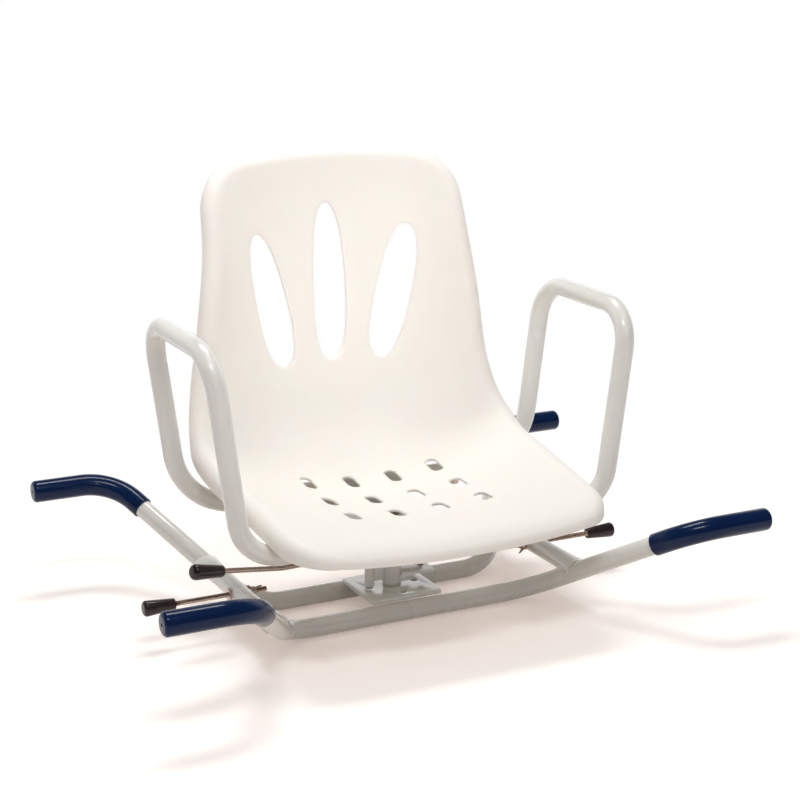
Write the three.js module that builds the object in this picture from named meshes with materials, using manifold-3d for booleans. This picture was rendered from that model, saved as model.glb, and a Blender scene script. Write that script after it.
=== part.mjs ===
// Swivel bath seat: a moulded seat shell on two armrest tubes, turning on a hub above a bent tube base.
// Millimetres, +Z up. The origin is on the floor, under the swivel axis. The seat faces -Y, its left arm is at -X.

import * as THREE from 'three';
import { mergeVertices } from 'three/addons/utils/BufferGeometryUtils.js';
import Module from 'manifold-3d';

const wasm = await Module();
wasm.setup();

// Clearances
const touch_gap = 0.3; // between pieces that bear on each other
const hole_gap = 0.3; // round a shank or a pin in its hole
const cut_overrun = 2; // how far a cutting tool runs past the faces it cuts

// Base tubes
const tube_diameter = 22;
const tube_wall = 1.5;
const tube_sides = 14;
const base_half_width = 360; // swivel axis to the closed end of a grip
const straight_length_share = 0.4333; // corner where a base tube starts to rise, of the half width
const straight_offset = 46; // swivel axis to the low run, front or rear
const handle_corner_share = 0.7278; // corner where the tube levels out into the handle, of the half width
const handle_offset = 232; // swivel axis to the handle, front or rear
const handle_height = 124; // floor to the handle's axis
const low_bend_radius = 60;
const handle_bend_radius = 62;
const bend_steps = 6;

// Grips
const grip_wall = 1.7;
const grip_end_wall = 3;
const grip_edge_radius = 5;
const grip_cover_past_bend = 16; // how far a grip runs down the rising tube past the bend
const grip_vent_diameter = 4;

// Side braces
const brace_share = 0.33; // place of the brace along the rising part of a base tube
const brace_flare = 0.5; // how much wider the brace's ends are than its middle, for the weld
const brace_flare_start = 0.35; // where the flare begins, from the middle to the end
const brace_steps = 8;

// Wall buffers
const buffer_rod_diameter = 6;
const buffer_rod_outside = 65; // brace to the root of the rubber tip
const buffer_rod_inside = 22; // brace to the inner end of the rod
const buffer_tip_length = 37;
const buffer_tip_diameter = 18;
const buffer_tip_root_diameter = 13;
const buffer_tip_edge_radius = 4;
const buffer_socket_depth = 18;
const bush_wall = 1.6;
const bush_flange_diameter = 15;
const bush_flange_thickness = 2.4;
const rod_washer_diameter = 14;
const rod_washer_thickness = 1.2;
const wing_nut_length = 7;
const wing_nut_diameter = 11;
const wing_reach = 10; // rod axis to the tip of a wing
const wing_height = 11;
const wing_thickness = 2.4;
const wing_rake = 5; // how far a wing leans away from the brace
const wing_turn = 0.8; // radians, from upright

// Pivot plate and post
const plate_width = 90;
const plate_depth = 84;
const plate_thickness = 5;
const plate_corner_radius = 3;
const index_radius = 29; // swivel axis to an index hole
const index_hole_diameter = 8.4;
const index_count = 4;
const post_diameter = 14;
const post_spigot_diameter = 12;
const pivot_bolt_diameter = 8;
const pivot_bolt_length = 28;
const pivot_bolt_head_width = 13;
const pivot_bolt_head_height = 5.3;
const pivot_washer_diameter = 21;
const pivot_washer_thickness = 2;

// Hub
const hub_diameter = 22;
const hub_wall = 2.5;
const hub_stand_up = 2; // hub top above the seat bracket
const thrust_washer_thickness = 1.5;
const bush_length = 20;
const hub_sides = 24;

// Seat bracket
const bracket_width = 100;
const bracket_thickness = 4;
const bracket_corner_radius = 8;
const bracket_margin = 14; // bracket edge past the axis of an arm's lower run

// Arms
const arm_run_height = 124; // floor to the axis of the lower runs
const arm_top_height = 350; // floor to the corner of the armrest
const arm_top_x = 253;
const arm_lean_share = 0.13; // sideways lean of the legs, per unit of height
const arm_front_y = 100; // swivel axis to the front legs
const arm_rear_y = 91; // swivel axis to the rear legs
const arm_top_bend_radius = 46;
const arm_front_bend_radius = 49; // lower bend of a front leg
const arm_rear_bend_radius = 78; // lower bend of a rear leg
const arm_joint_gap = 1; // between the ends of the two arms' lower runs

// Seat screws
const screw_x = 130; // swivel axis to a seat screw
const screw_diameter = 6;
const screw_head_diameter = 12;
const screw_head_height = 4;
const screw_washer_diameter = 15;
const screw_washer_thickness = 1.2;
const boss_diameter = 16;
const boss_skin = 1.6; // shell left above a screw's blind hole

// Seat shell
const seat_reach = 186; // swivel axis to the front lip
const seat_above_runs = 13.5; // axis of the arms' lower runs to the lowest point of the sitting surface
const back_rise = 370.5; // that point to the top of the back, before its rolled edge
const seat_half_width = 202.5;
const side_rise = 43; // how far the sides of the back stand forward of its middle
const shell_thickness = 4;
const rim_radius = 14;
const lip_skirt = 1; // straight part of the rolled edge at the front lip
const seat_skirt = 8; // at the sides of the seat
const back_skirt = 1; // and behind the back
const top_bow = 11; // rise of the top edge in its middle
const top_corner_drop = 40;
const front_bow = 5;
const front_corner_drop = 50;
const corner_start_share = 0.74; // where the corners start, across the half width
const dish_power = 2.2;

// Each station of the shell's middle line: place along the reach, height up the back, half width, side rise
const shell_station_shares = [
  [-0.984, -0.0067, 0.955, 0.1],
  [-0.925, 0.0108, 0.958, 0.17],
  [-0.806, 0.0175, 0.96, 0.27],
  [-0.645, 0.016, 0.963, 0.38],
  [-0.382, 0.008, 0.97, 0.6],
  [-0.054, 0.0, 0.98, 0.85],
  [0.274, 0.0095, 0.99, 0.95],
  [0.538, 0.0486, 1.0, 1.0],
  [0.704, 0.1147, 0.98, 1.0],
  [0.817, 0.209, 0.953, 1.0],
  [0.876, 0.3387, 0.915, 1.0],
  [0.903, 0.5196, 0.863, 1.1],
  [0.935, 0.7085, 0.812, 1.06],
  [0.978, 0.8704, 0.793, 0.86],
  [1.003, 0.986, 0.785, 0.72],
];
const crest_share = 0.2; // place along the stations where the seat is level, behind the front lip
const side_shares = [0.03, 0.16, 0.45, 0.62]; // where the lip's skirt deepens to the seat's, and that to the back's

// Drain slots
const drain_columns = 4;
const drain_rows = 3;
const drain_pitch_x = 54.4;
const drain_pitch_y = 61;
const drain_centre_y = 10; // the middle row is this far in front of the swivel axis
const drain_length = 29;
const drain_width = 14;

// Back slots: height of the middle above the seat's lowest point, length, greatest width, lean, place across
const middle_slot_height = 219.5;
const middle_slot_length = 190;
const middle_slot_width = 42;
const side_slot_height = 204.5;
const side_slot_length = 166;
const side_slot_width = 43;
const side_slot_x = 80;
const side_slot_lean = 0.22; // radians, top outwards
const slot_belly_share = 0.4; // place of a slot's greatest width, from its bottom end
const slot_top_width_share = 0.8; // width near the top of a slot, of its greatest width

// Lock
const pin_diameter = 6;
const pin_ride = 0.6; // pin's foot above the pivot plate, where it rides between two index holes
const pin_drop = 4.4; // from there into an index hole
const pin_rise = 2; // and upwards
const pin_collar_diameter = 7.6;
const pin_collar_height = 4;
const housing_diameter = 11;
const housing_wall = 1.4;
const housing_top = 92; // floor to the top of the pin housing
const housing_cap_height = 4;
const finger_diameter = 4.4;
const finger_reach = 24; // pin axis to the finger's end
const web_thickness = 4;
const web_bottom = 35; // floor to the lower edge of the web
const web_top = 84;
const spring_wire = 0.9;
const spring_turns = 6;
const tab_width = 24;
const tab_thickness = 3;
const tab_reach = 50; // swivel axis to the tab's outer edge
const hook_x = 41;
const hook_y = 7;
const hook_drop = 14;
const lever_rod_diameter = 6;
const lever_hook_height = 48.5; // floor to the rod's axis above the tab
const clip_diameter = 11;
const clip_thickness = 1.2;
const clip_play = 1; // between the clip and the tab, for the lever's tilt
const knob_length = 42;
const knob_diameter = 18;
const knob_root_diameter = 14;
const knob_edge_radius = 6;
const knob_socket_depth = 26;
const lever_end_x = 259.5; // swivel axis to the knob's end
const lever_end_y = 30; // the knob's end of the rod is this far in front of the swivel axis
const lever_end_height = 92;
const lever_bend_x = 138.5;
const lever_bend_height = 69.2;
const lever_inner_x = 91.5;
const lever_inner_y = 12;
const lever_inner_height = 65;
const lever_pass_y = 17; // the rod passes this far behind the hub's axis
const lever_pass_height = 57.8; // and this high beside the pin's housing
const lever_bend_radius = 20;
const hook_bend_radius = 6;

// Finishes
const powder_coat = { color: 0xd4d3cc, roughness: 0.35, metalness: 0.1 };
const shell_plastic = { color: 0xf3ece4, roughness: 0.45, metalness: 0 };
const grip_vinyl = { color: 0x0b2148, roughness: 0.2, metalness: 0 };
const bright_steel = { color: 0xb9aea5, roughness: 0.3, metalness: 0.9 };
const black_rubber = { color: 0x1f1818, roughness: 0.5, metalness: 0 };
const black_plastic = { color: 0x1a1314, roughness: 0.3, metalness: 0 };
const white_nylon = { color: 0xe9e6dc, roughness: 0.5, metalness: 0 };

// Places that follow from the sizes above
const tube_radius = tube_diameter / 2;
const straight_half_length = base_half_width * straight_length_share;
const handle_corner_x = base_half_width * handle_corner_share;
const seat_height = arm_run_height + seat_above_runs;
const plate_bottom = tube_diameter + touch_gap;
const plate_top = plate_bottom + plate_thickness;
const arm_low_x = arm_top_x - arm_lean_share * (arm_top_height - arm_run_height);
const bracket_top = arm_run_height - tube_radius - touch_gap;
const bracket_bottom = bracket_top - bracket_thickness;
const hub_bottom = plate_top + thrust_washer_thickness + 2 * touch_gap;
const hub_top = bracket_top + hub_stand_up;
const hub_bore = hub_diameter - 2 * hub_wall;
const brace_x = THREE.MathUtils.lerp(straight_half_length, handle_corner_x, brace_share);
const brace_y = THREE.MathUtils.lerp(straight_offset, handle_offset, brace_share);
const brace_z = THREE.MathUtils.lerp(tube_radius, handle_height, brace_share);
const rod_bore = buffer_rod_diameter + 2 * hole_gap;

const seat = new THREE.Group();
const bathSeat = new THREE.Group();
bathSeat.add(seat);

// Meshes and solids

function addPiece(group, name, geometry, finish) {
  const mesh = new THREE.Mesh(geometry, new THREE.MeshStandardMaterial(finish));
  mesh.name = name;
  group.add(mesh);
  return mesh;
}

function toSolid(geometry) {
  const bare = new THREE.BufferGeometry();
  bare.setAttribute('position', geometry.getAttribute('position').clone());
  if (geometry.index) bare.setIndex(geometry.index.clone());
  const merged = mergeVertices(bare, 1e-4);
  return new wasm.Manifold(
    new wasm.Mesh({
      numProp: 3,
      vertProperties: new Float32Array(merged.getAttribute('position').array),
      triVerts: new Uint32Array(merged.index.array),
    }),
  );
}

function fromSolid(solid) {
  const mesh = solid.getMesh();
  const geometry = new THREE.BufferGeometry();
  geometry.setAttribute('position', new THREE.BufferAttribute(new Float32Array(mesh.vertProperties), 3));
  geometry.setIndex(new THREE.BufferAttribute(new Uint32Array(mesh.triVerts), 1));
  return geometry;
}

function cut(geometry, ...tools) {
  return fromSolid(tools.reduce((solid, tool) => solid.subtract(toSolid(tool)), toSolid(geometry)));
}

function join(geometry, ...others) {
  return fromSolid(others.reduce((solid, other) => solid.add(toSolid(other)), toSolid(geometry)));
}

// A round bar from a bottom height to a top height, on the Z axis unless moved
function bar(diameter, bottom, top, x = 0, y = 0, sides = hub_sides) {
  const geometry = new THREE.CylinderGeometry(diameter / 2, diameter / 2, top - bottom, sides);
  geometry.rotateX(Math.PI / 2);
  geometry.translate(x, y, (bottom + top) / 2);
  return geometry;
}

// A ring with a bore, on the Z axis unless moved
function sleeve(diameter, bore, bottom, top, x = 0, y = 0, sides = hub_sides) {
  const profile = [
    [bore / 2, bottom],
    [diameter / 2, bottom],
    [diameter / 2, top],
    [bore / 2, top],
    [bore / 2, bottom],
  ];
  return turned(profile, sides).translate(x, y, 0);
}

// A turned piece about the Z axis, from [radius, height] points
function turned(profile, sides = hub_sides) {
  const points = profile.map(([radius, height]) => new THREE.Vector2(radius, height));
  const geometry = new THREE.LatheGeometry(points, sides);
  geometry.rotateX(Math.PI / 2);
  return geometry;
}

// Turns a piece made about Z so that it lies along X, its top pointing outwards on the given side
function layAlongX(geometry, side) {
  return geometry.rotateY((side * Math.PI) / 2);
}

function roundedRectangle(width, depth, radius) {
  const x = width / 2;
  const y = depth / 2;
  const shape = new THREE.Shape();
  shape.absarc(x - radius, y - radius, radius, 0, Math.PI / 2);
  shape.absarc(-x + radius, y - radius, radius, Math.PI / 2, Math.PI);
  shape.absarc(-x + radius, -y + radius, radius, Math.PI, 1.5 * Math.PI);
  shape.absarc(x - radius, -y + radius, radius, 1.5 * Math.PI, 2 * Math.PI);
  return shape;
}

// A round hole in a shape, its flats on the diameter
function addHole(shape, x, y, diameter, sides = hub_sides) {
  const radius = diameter / 2 / Math.cos(Math.PI / sides);
  const corners = [];
  for (let k = 0; k < sides; k += 1) {
    const angle = (k * 2 * Math.PI) / sides;
    corners.push(new THREE.Vector2(x + radius * Math.cos(angle), y + radius * Math.sin(angle)));
  }
  shape.holes.push(new THREE.Path(corners));
}

function slab(shape, bottom, top, curveSegments = 6) {
  const geometry = new THREE.ExtrudeGeometry(shape, { depth: top - bottom, bevelEnabled: false, curveSegments });
  return geometry.translate(0, 0, bottom);
}

// A bent bar's axis: straight runs joined by arcs, with its stations only where it bends
class BentAxis extends THREE.Curve {
  constructor(corners, radii, steps) {
    super();
    this.stations = [{ point: corners[0], tangent: corners[1].clone().sub(corners[0]).normalize() }];
    for (let i = 1; i < corners.length - 1; i += 1) this.addBend(corners, i, radii[i - 1], steps);
    const last = corners.length - 1;
    const tangent = corners[last].clone().sub(corners[last - 1]).normalize();
    this.stations.push({ point: corners[last], tangent });
    this.spans = this.stations.length - 1;
  }

  addBend(corners, i, radius, steps) {
    const before = corners[i].clone().sub(corners[i - 1]).normalize();
    const after = corners[i + 1].clone().sub(corners[i]).normalize();
    const turn = before.angleTo(after);
    const start = corners[i].clone().addScaledVector(before, -radius * Math.tan(turn / 2));
    const inward = after.clone().addScaledVector(before, -after.dot(before)).normalize();
    for (let k = 0; k <= steps; k += 1) {
      const angle = (turn * k) / steps;
      const point = start.clone();
      point.addScaledVector(before, radius * Math.sin(angle));
      point.addScaledVector(inward, radius * (1 - Math.cos(angle)));
      const tangent = before.clone().multiplyScalar(Math.cos(angle)).addScaledVector(inward, Math.sin(angle));
      this.stations.push({ point, tangent });
    }
  }

  getUtoTmapping(u) {
    return u;
  }

  between(t, key) {
    const place = Math.min(Math.max(t, 0), 1) * this.spans;
    const i = Math.min(Math.floor(place), this.spans - 1);
    return this.stations[i][key].clone().lerp(this.stations[i + 1][key], place - i);
  }

  getPoint(t) {
    return this.between(t, 'point');
  }

  getTangent(t) {
    return this.between(t, 'tangent').normalize();
  }
}

// The same axis from its start to a station, with the ends run on straight by the given lengths
function startOf(axis, last, startRun, endRun) {
  const part = new BentAxis([new THREE.Vector3(), new THREE.Vector3(0, 0, 1)], [], 1);
  const runOn = ({ point, tangent }, length) => ({ point: point.clone().addScaledVector(tangent, length), tangent });
  const kept = axis.stations.slice(1, last + 1);
  part.stations = [runOn(axis.stations[0], -startRun), ...kept, runOn(axis.stations[last], endRun)];
  part.spans = part.stations.length - 1;
  return part;
}

// A section whose flats, not its corners, lie on the round tube's diameter
function flatSided(PathKind, diameter, sides) {
  const radius = diameter / 2 / Math.cos(Math.PI / sides);
  const path = new PathKind();
  for (let k = 0; k < sides; k += 1) {
    const angle = ((k + 0.5) * 2 * Math.PI) / sides;
    const point = [radius * Math.cos(angle), radius * Math.sin(angle)];
    if (k === 0) path.moveTo(...point);
    else path.lineTo(...point);
  }
  path.closePath();
  return path;
}

function tubeAlong(axis, diameter, bore = 0, sides = tube_sides, steps = axis.spans) {
  const section = flatSided(THREE.Shape, diameter, sides);
  if (bore > 0) section.holes.push(flatSided(THREE.Path, bore, sides));
  return new THREE.ExtrudeGeometry(section, { steps, extrudePath: axis, bevelEnabled: false });
}

// Base

function baseTubeCorners(end) {
  const half = [
    new THREE.Vector3(base_half_width - grip_end_wall, end * handle_offset, handle_height),
    new THREE.Vector3(handle_corner_x, end * handle_offset, handle_height),
    new THREE.Vector3(straight_half_length, end * straight_offset, tube_radius),
  ];
  const mirrored = half.map((corner) => new THREE.Vector3(-corner.x, corner.y, corner.z));
  return [...mirrored, ...half.reverse()];
}

const base_bend_radii = [handle_bend_radius, low_bend_radius, low_bend_radius, handle_bend_radius];

function baseTube(end) {
  const axis = new BentAxis(baseTubeCorners(end), base_bend_radii, bend_steps);
  addPiece(
    bathSeat,
    end < 0 ? 'front_base_tube' : 'rear_base_tube',
    tubeAlong(axis, tube_diameter, tube_diameter - 2 * tube_wall),
    powder_coat,
  );
  addGrips(axis, end);
  return axis;
}

// A dipped grip: a blind sleeve over a tube's left end and down past its bend, and the same turned half round
function addGrips(axis, end) {
  const bend_end = bend_steps + 1;
  const outer = grip_wall * 2 + tube_diameter + 2 * touch_gap;
  const cap = grip_end_wall + touch_gap;
  const body = tubeAlong(startOf(axis, bend_end, 0, grip_cover_past_bend), outer);
  const bore_axis = startOf(axis, bend_end, touch_gap, grip_cover_past_bend + cut_overrun);
  const bore = tubeAlong(bore_axis, tube_diameter + 2 * touch_gap);
  const corner_radius = outer / 2 / Math.cos(Math.PI / tube_sides);
  const dome = [[0, -cut_overrun], [corner_radius, -cut_overrun], [corner_radius, 0]];
  const dome_steps = 3;
  const edge_radius = Math.min(grip_edge_radius, cap);
  for (let k = 1; k <= dome_steps; k += 1) {
    const angle = (k / dome_steps) * (Math.PI / 2);
    dome.push([corner_radius - edge_radius * (1 - Math.cos(angle)), cap - edge_radius * (1 - Math.sin(angle))]);
  }
  dome.push([0, cap]);
  const vent = bar(grip_vent_diameter, -cap, cap + cut_overrun, 0, 0, 8);
  const atEnd = (piece) => layAlongX(piece, -1).translate(-base_half_width + cap, end * handle_offset, handle_height);
  const geometry = cut(join(body, atEnd(turned(dome, tube_sides))), bore, atEnd(vent));
  addPiece(bathSeat, `grip_${end < 0 ? 'front' : 'rear'}_left`, geometry, grip_vinyl);
  const turned_half = geometry.clone().rotateZ(Math.PI);
  addPiece(bathSeat, `grip_${end < 0 ? 'rear' : 'front'}_right`, turned_half, grip_vinyl);
}

const front_axis = baseTube(-1);
const rear_axis = baseTube(1);

// A brace between the rising parts of the base tubes, coped round them
function brace(side) {
  const name = side < 0 ? 'left' : 'right';
  const x = side * brace_x;
  const axis = new THREE.LineCurve3(new THREE.Vector3(x, -brace_y, brace_z), new THREE.Vector3(x, brace_y, brace_z));
  const tube = tubeAlong(axis, tube_diameter, tube_diameter - 2 * tube_wall, tube_sides, brace_steps);
  const points = tube.getAttribute('position');
  for (let k = 0; k < points.count; k += 1) {
    const out = (Math.abs(points.getY(k)) / brace_y - brace_flare_start) / (1 - brace_flare_start);
    const width = 1 + brace_flare * Math.max(out, 0) ** 2;
    points.setX(k, x + (points.getX(k) - x) * width);
  }
  const coped = tube_diameter + 2 * touch_gap;
  const rod_hole = layAlongX(bar(rod_bore + 2 * bush_wall + 2 * hole_gap, -tube_diameter, tube_diameter, 0, 0, 16), side);
  rod_hole.translate(x, 0, brace_z);
  const geometry = cut(
    tube,
    tubeAlong(front_axis, coped),
    tubeAlong(rear_axis, coped),
    rod_hole,
  );
  addPiece(bathSeat, `${name}_brace_tube`, geometry, powder_coat);
}

// The threaded rod through a brace, with its rubber tip, bush, washer and wing nut
function wallBuffer(side) {
  const name = side < 0 ? 'left' : 'right';
  const place = (geometry, offset) => layAlongX(geometry, side).translate(side * (brace_x + offset), 0, brace_z);
  const outside = tube_radius + touch_gap;
  const flange_top = outside + bush_flange_thickness;
  const bush_diameter = rod_bore + 2 * bush_wall;
  const bush = turned([
    [rod_bore / 2, -outside],
    [bush_diameter / 2, -outside],
    [bush_diameter / 2, outside],
    [bush_flange_diameter / 2, outside],
    [bush_flange_diameter / 2, flange_top],
    [rod_bore / 2, flange_top],
    [rod_bore / 2, -outside],
  ], 16);
  addPiece(bathSeat, `${name}_brace_bush`, place(bush, 0), bright_steel);

  const washer_outer = -outside - touch_gap;
  const washer = sleeve(rod_washer_diameter, rod_bore, washer_outer - rod_washer_thickness, washer_outer, 0, 0, 16);
  addPiece(bathSeat, `${name}_rod_washer`, place(washer, 0), bright_steel);

  const rod_end = tube_radius + buffer_rod_outside + buffer_socket_depth;
  const rod = bar(buffer_rod_diameter, -tube_radius - buffer_rod_inside, rod_end, 0, 0, 12);
  addPiece(bathSeat, `${name}_buffer_rod`, place(rod, 0), bright_steel);

  const socket = rod_bore / 2;
  const tip_profile = [
    [0, buffer_socket_depth + touch_gap],
    [socket, buffer_socket_depth + touch_gap],
    [socket, 0],
    [buffer_tip_root_diameter / 2, 0],
  ];
  const edge_steps = 4;
  for (let k = 0; k <= edge_steps; k += 1) {
    const angle = (k / edge_steps) * (Math.PI / 2);
    tip_profile.push([
      buffer_tip_diameter / 2 - buffer_tip_edge_radius * (1 - Math.cos(angle)),
      buffer_tip_length - buffer_tip_edge_radius * (1 - Math.sin(angle)),
    ]);
  }
  tip_profile.push([0, buffer_tip_length]);
  addPiece(bathSeat, `${name}_buffer_tip`, place(turned(tip_profile, 16), tube_radius + buffer_rod_outside), black_rubber);

  const nut_top = washer_outer - rod_washer_thickness - touch_gap;
  const wing = new THREE.Shape();
  wing.moveTo(0, nut_top - wing_nut_length);
  wing.lineTo(wing_reach * 0.55, nut_top - wing_nut_length - wing_rake);
  wing.quadraticCurveTo(wing_reach, nut_top - wing_height - wing_rake, wing_reach, nut_top - wing_height);
  wing.quadraticCurveTo(wing_reach, nut_top - wing_nut_length * 0.6, wing_nut_diameter * 0.45, nut_top - touch_gap);
  wing.lineTo(0, nut_top - touch_gap);
  const leaf = new THREE.ExtrudeGeometry(wing, { depth: wing_thickness, bevelEnabled: false, curveSegments: 4 });
  leaf.translate(0, 0, -wing_thickness / 2).rotateX(Math.PI / 2);
  const other_leaf = leaf.clone().rotateZ(Math.PI);
  const barrel = bar(wing_nut_diameter, nut_top - wing_nut_length, nut_top, 0, 0, 16);
  const nut_bore = bar(rod_bore, nut_top - wing_height - wing_rake - cut_overrun, nut_top + cut_overrun, 0, 0, 16);
  const nut = cut(join(barrel, leaf, other_leaf), nut_bore).rotateZ(-wing_turn);
  addPiece(bathSeat, `${name}_wing_nut`, place(nut, 0), bright_steel);
}

for (const side of [-1, 1]) {
  brace(side);
  wallBuffer(side);
}

function pivotPlate() {
  const shape = roundedRectangle(plate_width, plate_depth, plate_corner_radius);
  addHole(shape, 0, 0, post_spigot_diameter + 2 * hole_gap);
  for (let k = 0; k < index_count; k += 1) {
    const angle = (k * 2 * Math.PI) / index_count;
    addHole(shape, index_radius * Math.cos(angle), index_radius * Math.sin(angle), index_hole_diameter, 16);
  }
  addPiece(bathSeat, 'pivot_plate', slab(shape, plate_bottom, plate_top), powder_coat);
}

const washer_bottom = hub_top + touch_gap;
const post_top = hub_top - touch_gap;
const bolt_bore = pivot_bolt_diameter + 2 * hole_gap;
const bolt_seat = washer_bottom + pivot_washer_thickness + touch_gap;

function pivotPost() {
  const bore_bottom = bolt_seat - pivot_bolt_length - cut_overrun;
  const post = turned([
    [0, plate_bottom],
    [post_spigot_diameter / 2, plate_bottom],
    [post_spigot_diameter / 2, plate_top + touch_gap],
    [post_diameter / 2, plate_top + touch_gap],
    [post_diameter / 2, post_top],
    [bolt_bore / 2, post_top],
    [bolt_bore / 2, bore_bottom],
    [0, bore_bottom],
  ]);
  addPiece(bathSeat, 'pivot_post', post, bright_steel);
  const washer = sleeve(pivot_washer_diameter, bolt_bore, washer_bottom, washer_bottom + pivot_washer_thickness);
  addPiece(bathSeat, 'pivot_washer', washer, bright_steel);
  const head_radius = pivot_bolt_head_width / 2 / Math.cos(Math.PI / 6);
  const head = bar(2 * head_radius, bolt_seat, bolt_seat + pivot_bolt_head_height, 0, 0, 6);
  const shank = bar(pivot_bolt_diameter, bolt_seat - pivot_bolt_length, bolt_seat + pivot_bolt_head_height / 2, 0, 0, 16);
  addPiece(bathSeat, 'pivot_bolt', join(head, shank), bright_steel);
}

pivotPlate();
pivotPost();

// Hub and seat bracket

function hub() {
  addPiece(seat, 'hub_sleeve', sleeve(hub_diameter, hub_bore, hub_bottom, hub_top), powder_coat);
  const washer_top = plate_top + touch_gap + thrust_washer_thickness;
  const washer_bore = post_diameter + 2 * hole_gap;
  addPiece(seat, 'thrust_washer', sleeve(hub_diameter, washer_bore, plate_top + touch_gap, washer_top), white_nylon);
  const bush_outer = hub_bore - 2 * hole_gap;
  const lower = hub_bottom + touch_gap;
  const upper = post_top - bush_length;
  addPiece(seat, 'lower_bush', sleeve(bush_outer, washer_bore, lower, lower + bush_length), white_nylon);
  addPiece(seat, 'upper_bush', sleeve(bush_outer, washer_bore, upper, upper + bush_length), white_nylon);
}

function seatBracket() {
  const front = -arm_front_y - bracket_margin;
  const rear = arm_rear_y + bracket_margin;
  const shape = roundedRectangle(bracket_width, rear - front, bracket_corner_radius);
  addHole(shape, 0, -(front + rear) / 2, hub_diameter + 2 * touch_gap);
  const plate = slab(shape, bracket_bottom, bracket_top);
  addPiece(seat, 'seat_bracket', plate.translate(0, (front + rear) / 2, 0), powder_coat);
}

hub();
seatBracket();

// Arms, and the screws that hold the shell on their lower runs

const screw_places = [
  ['front_left', -screw_x, -arm_front_y],
  ['front_right', screw_x, -arm_front_y],
  ['rear_left', -screw_x, arm_rear_y],
  ['rear_right', screw_x, arm_rear_y],
];

function arm(side) {
  const corner = (x, y, z) => new THREE.Vector3(side * x, y, z);
  const corners = [
    corner(arm_joint_gap / 2, -arm_front_y, arm_run_height),
    corner(arm_low_x, -arm_front_y, arm_run_height),
    corner(arm_top_x, -arm_front_y, arm_top_height),
    corner(arm_top_x, arm_rear_y, arm_top_height),
    corner(arm_low_x, arm_rear_y, arm_run_height),
    corner(arm_joint_gap / 2, arm_rear_y, arm_run_height),
  ];
  const radii = [arm_front_bend_radius, arm_top_bend_radius, arm_top_bend_radius, arm_rear_bend_radius];
  const axis = new BentAxis(corners, radii, bend_steps);
  const holes = screw_places
    .filter(([, x]) => Math.sign(x) === side)
    .map(([, x, y]) => {
      const bottom = arm_run_height - tube_diameter;
      return bar(screw_diameter + 2 * hole_gap, bottom, arm_run_height + tube_diameter, x, y, 12);
    });
  const geometry = cut(tubeAlong(axis, tube_diameter, tube_diameter - 2 * tube_wall), ...holes);
  addPiece(seat, side < 0 ? 'left_arm_tube' : 'right_arm_tube', geometry, powder_coat);
}

arm(-1);
arm(1);

// Seat shell

const middle_line = new THREE.CatmullRomCurve3(
  shell_station_shares.map(([y, z]) => new THREE.Vector3(0, y * seat_reach, seat_height + z * back_rise)),
);
const side_line = new THREE.SplineCurve(
  shell_station_shares.map(([, , width, rise]) => new THREE.Vector2(width * seat_half_width, rise * side_rise)),
);

function middleNormal(t) {
  const along = middle_line.getTangent(THREE.MathUtils.clamp(t, 0, 1));
  return new THREE.Vector3(0, -along.z, along.y);
}

// The sitting surface: across from -1 to 1, t along the stations
function shellPoint(across, t) {
  const { x: half_width, y: rise } = side_line.getPoint(t);
  const point = middle_line.getPoint(t);
  point.addScaledVector(middleNormal(t), rise * Math.abs(across) ** dish_power);
  point.x = across * (half_width - rim_radius);
  return point;
}

function shellNormal(across, t) {
  const step = 1e-3;
  const low = Math.max(t - step, 0);
  const high = Math.min(t + step, 1);
  const sideways = shellPoint(across + step, t).sub(shellPoint(across - step, t));
  const along = shellPoint(across, high).sub(shellPoint(across, low));
  return sideways.cross(along).normalize();
}

// The drop of a corner at a place across, as a quarter circle stretched to the corner's size
function cornerDrop(across) {
  const into = (Math.abs(across) - corner_start_share) / (1 - corner_start_share);
  if (into <= 0) return 0;
  return 1 - Math.sqrt(Math.max(0, 1 - into * into));
}

const line_length = middle_line.getLength();

function columnPlaces(straight_columns, corner_columns) {
  const places = [];
  for (let k = 0; k <= straight_columns; k += 1) {
    places.push(corner_start_share * ((2 * k) / straight_columns - 1));
  }
  for (let k = 1; k <= corner_columns; k += 1) {
    const out = Math.sin(((k / corner_columns) * Math.PI) / 2);
    const place = corner_start_share + (1 - corner_start_share) * out;
    places.push(place);
    places.unshift(-place);
  }
  return places;
}

function shellGrid(columns, row_count) {
  const rows = [];
  for (let r = 0; r <= row_count; r += 1) {
    rows.push(
      columns.map((across) => {
        const front = (front_bow * across * across + front_corner_drop * cornerDrop(across)) / line_length;
        const top = 1 - (top_bow * across * across + top_corner_drop * cornerDrop(across)) / line_length;
        const t = middle_line.getUtoTmapping(THREE.MathUtils.lerp(front, top, r / row_count));
        return { across, t };
      }),
    );
  }
  return rows;
}

function skirtAt(t) {
  const [lip_end, seat_start, seat_end, back_start] = side_shares;
  const seat_part = THREE.MathUtils.smoothstep(t, lip_end, seat_start);
  const back_part = THREE.MathUtils.smoothstep(t, seat_end, back_start);
  const skirt = THREE.MathUtils.lerp(lip_skirt, seat_skirt, seat_part);
  return THREE.MathUtils.lerp(skirt, back_skirt, back_part);
}

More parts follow.
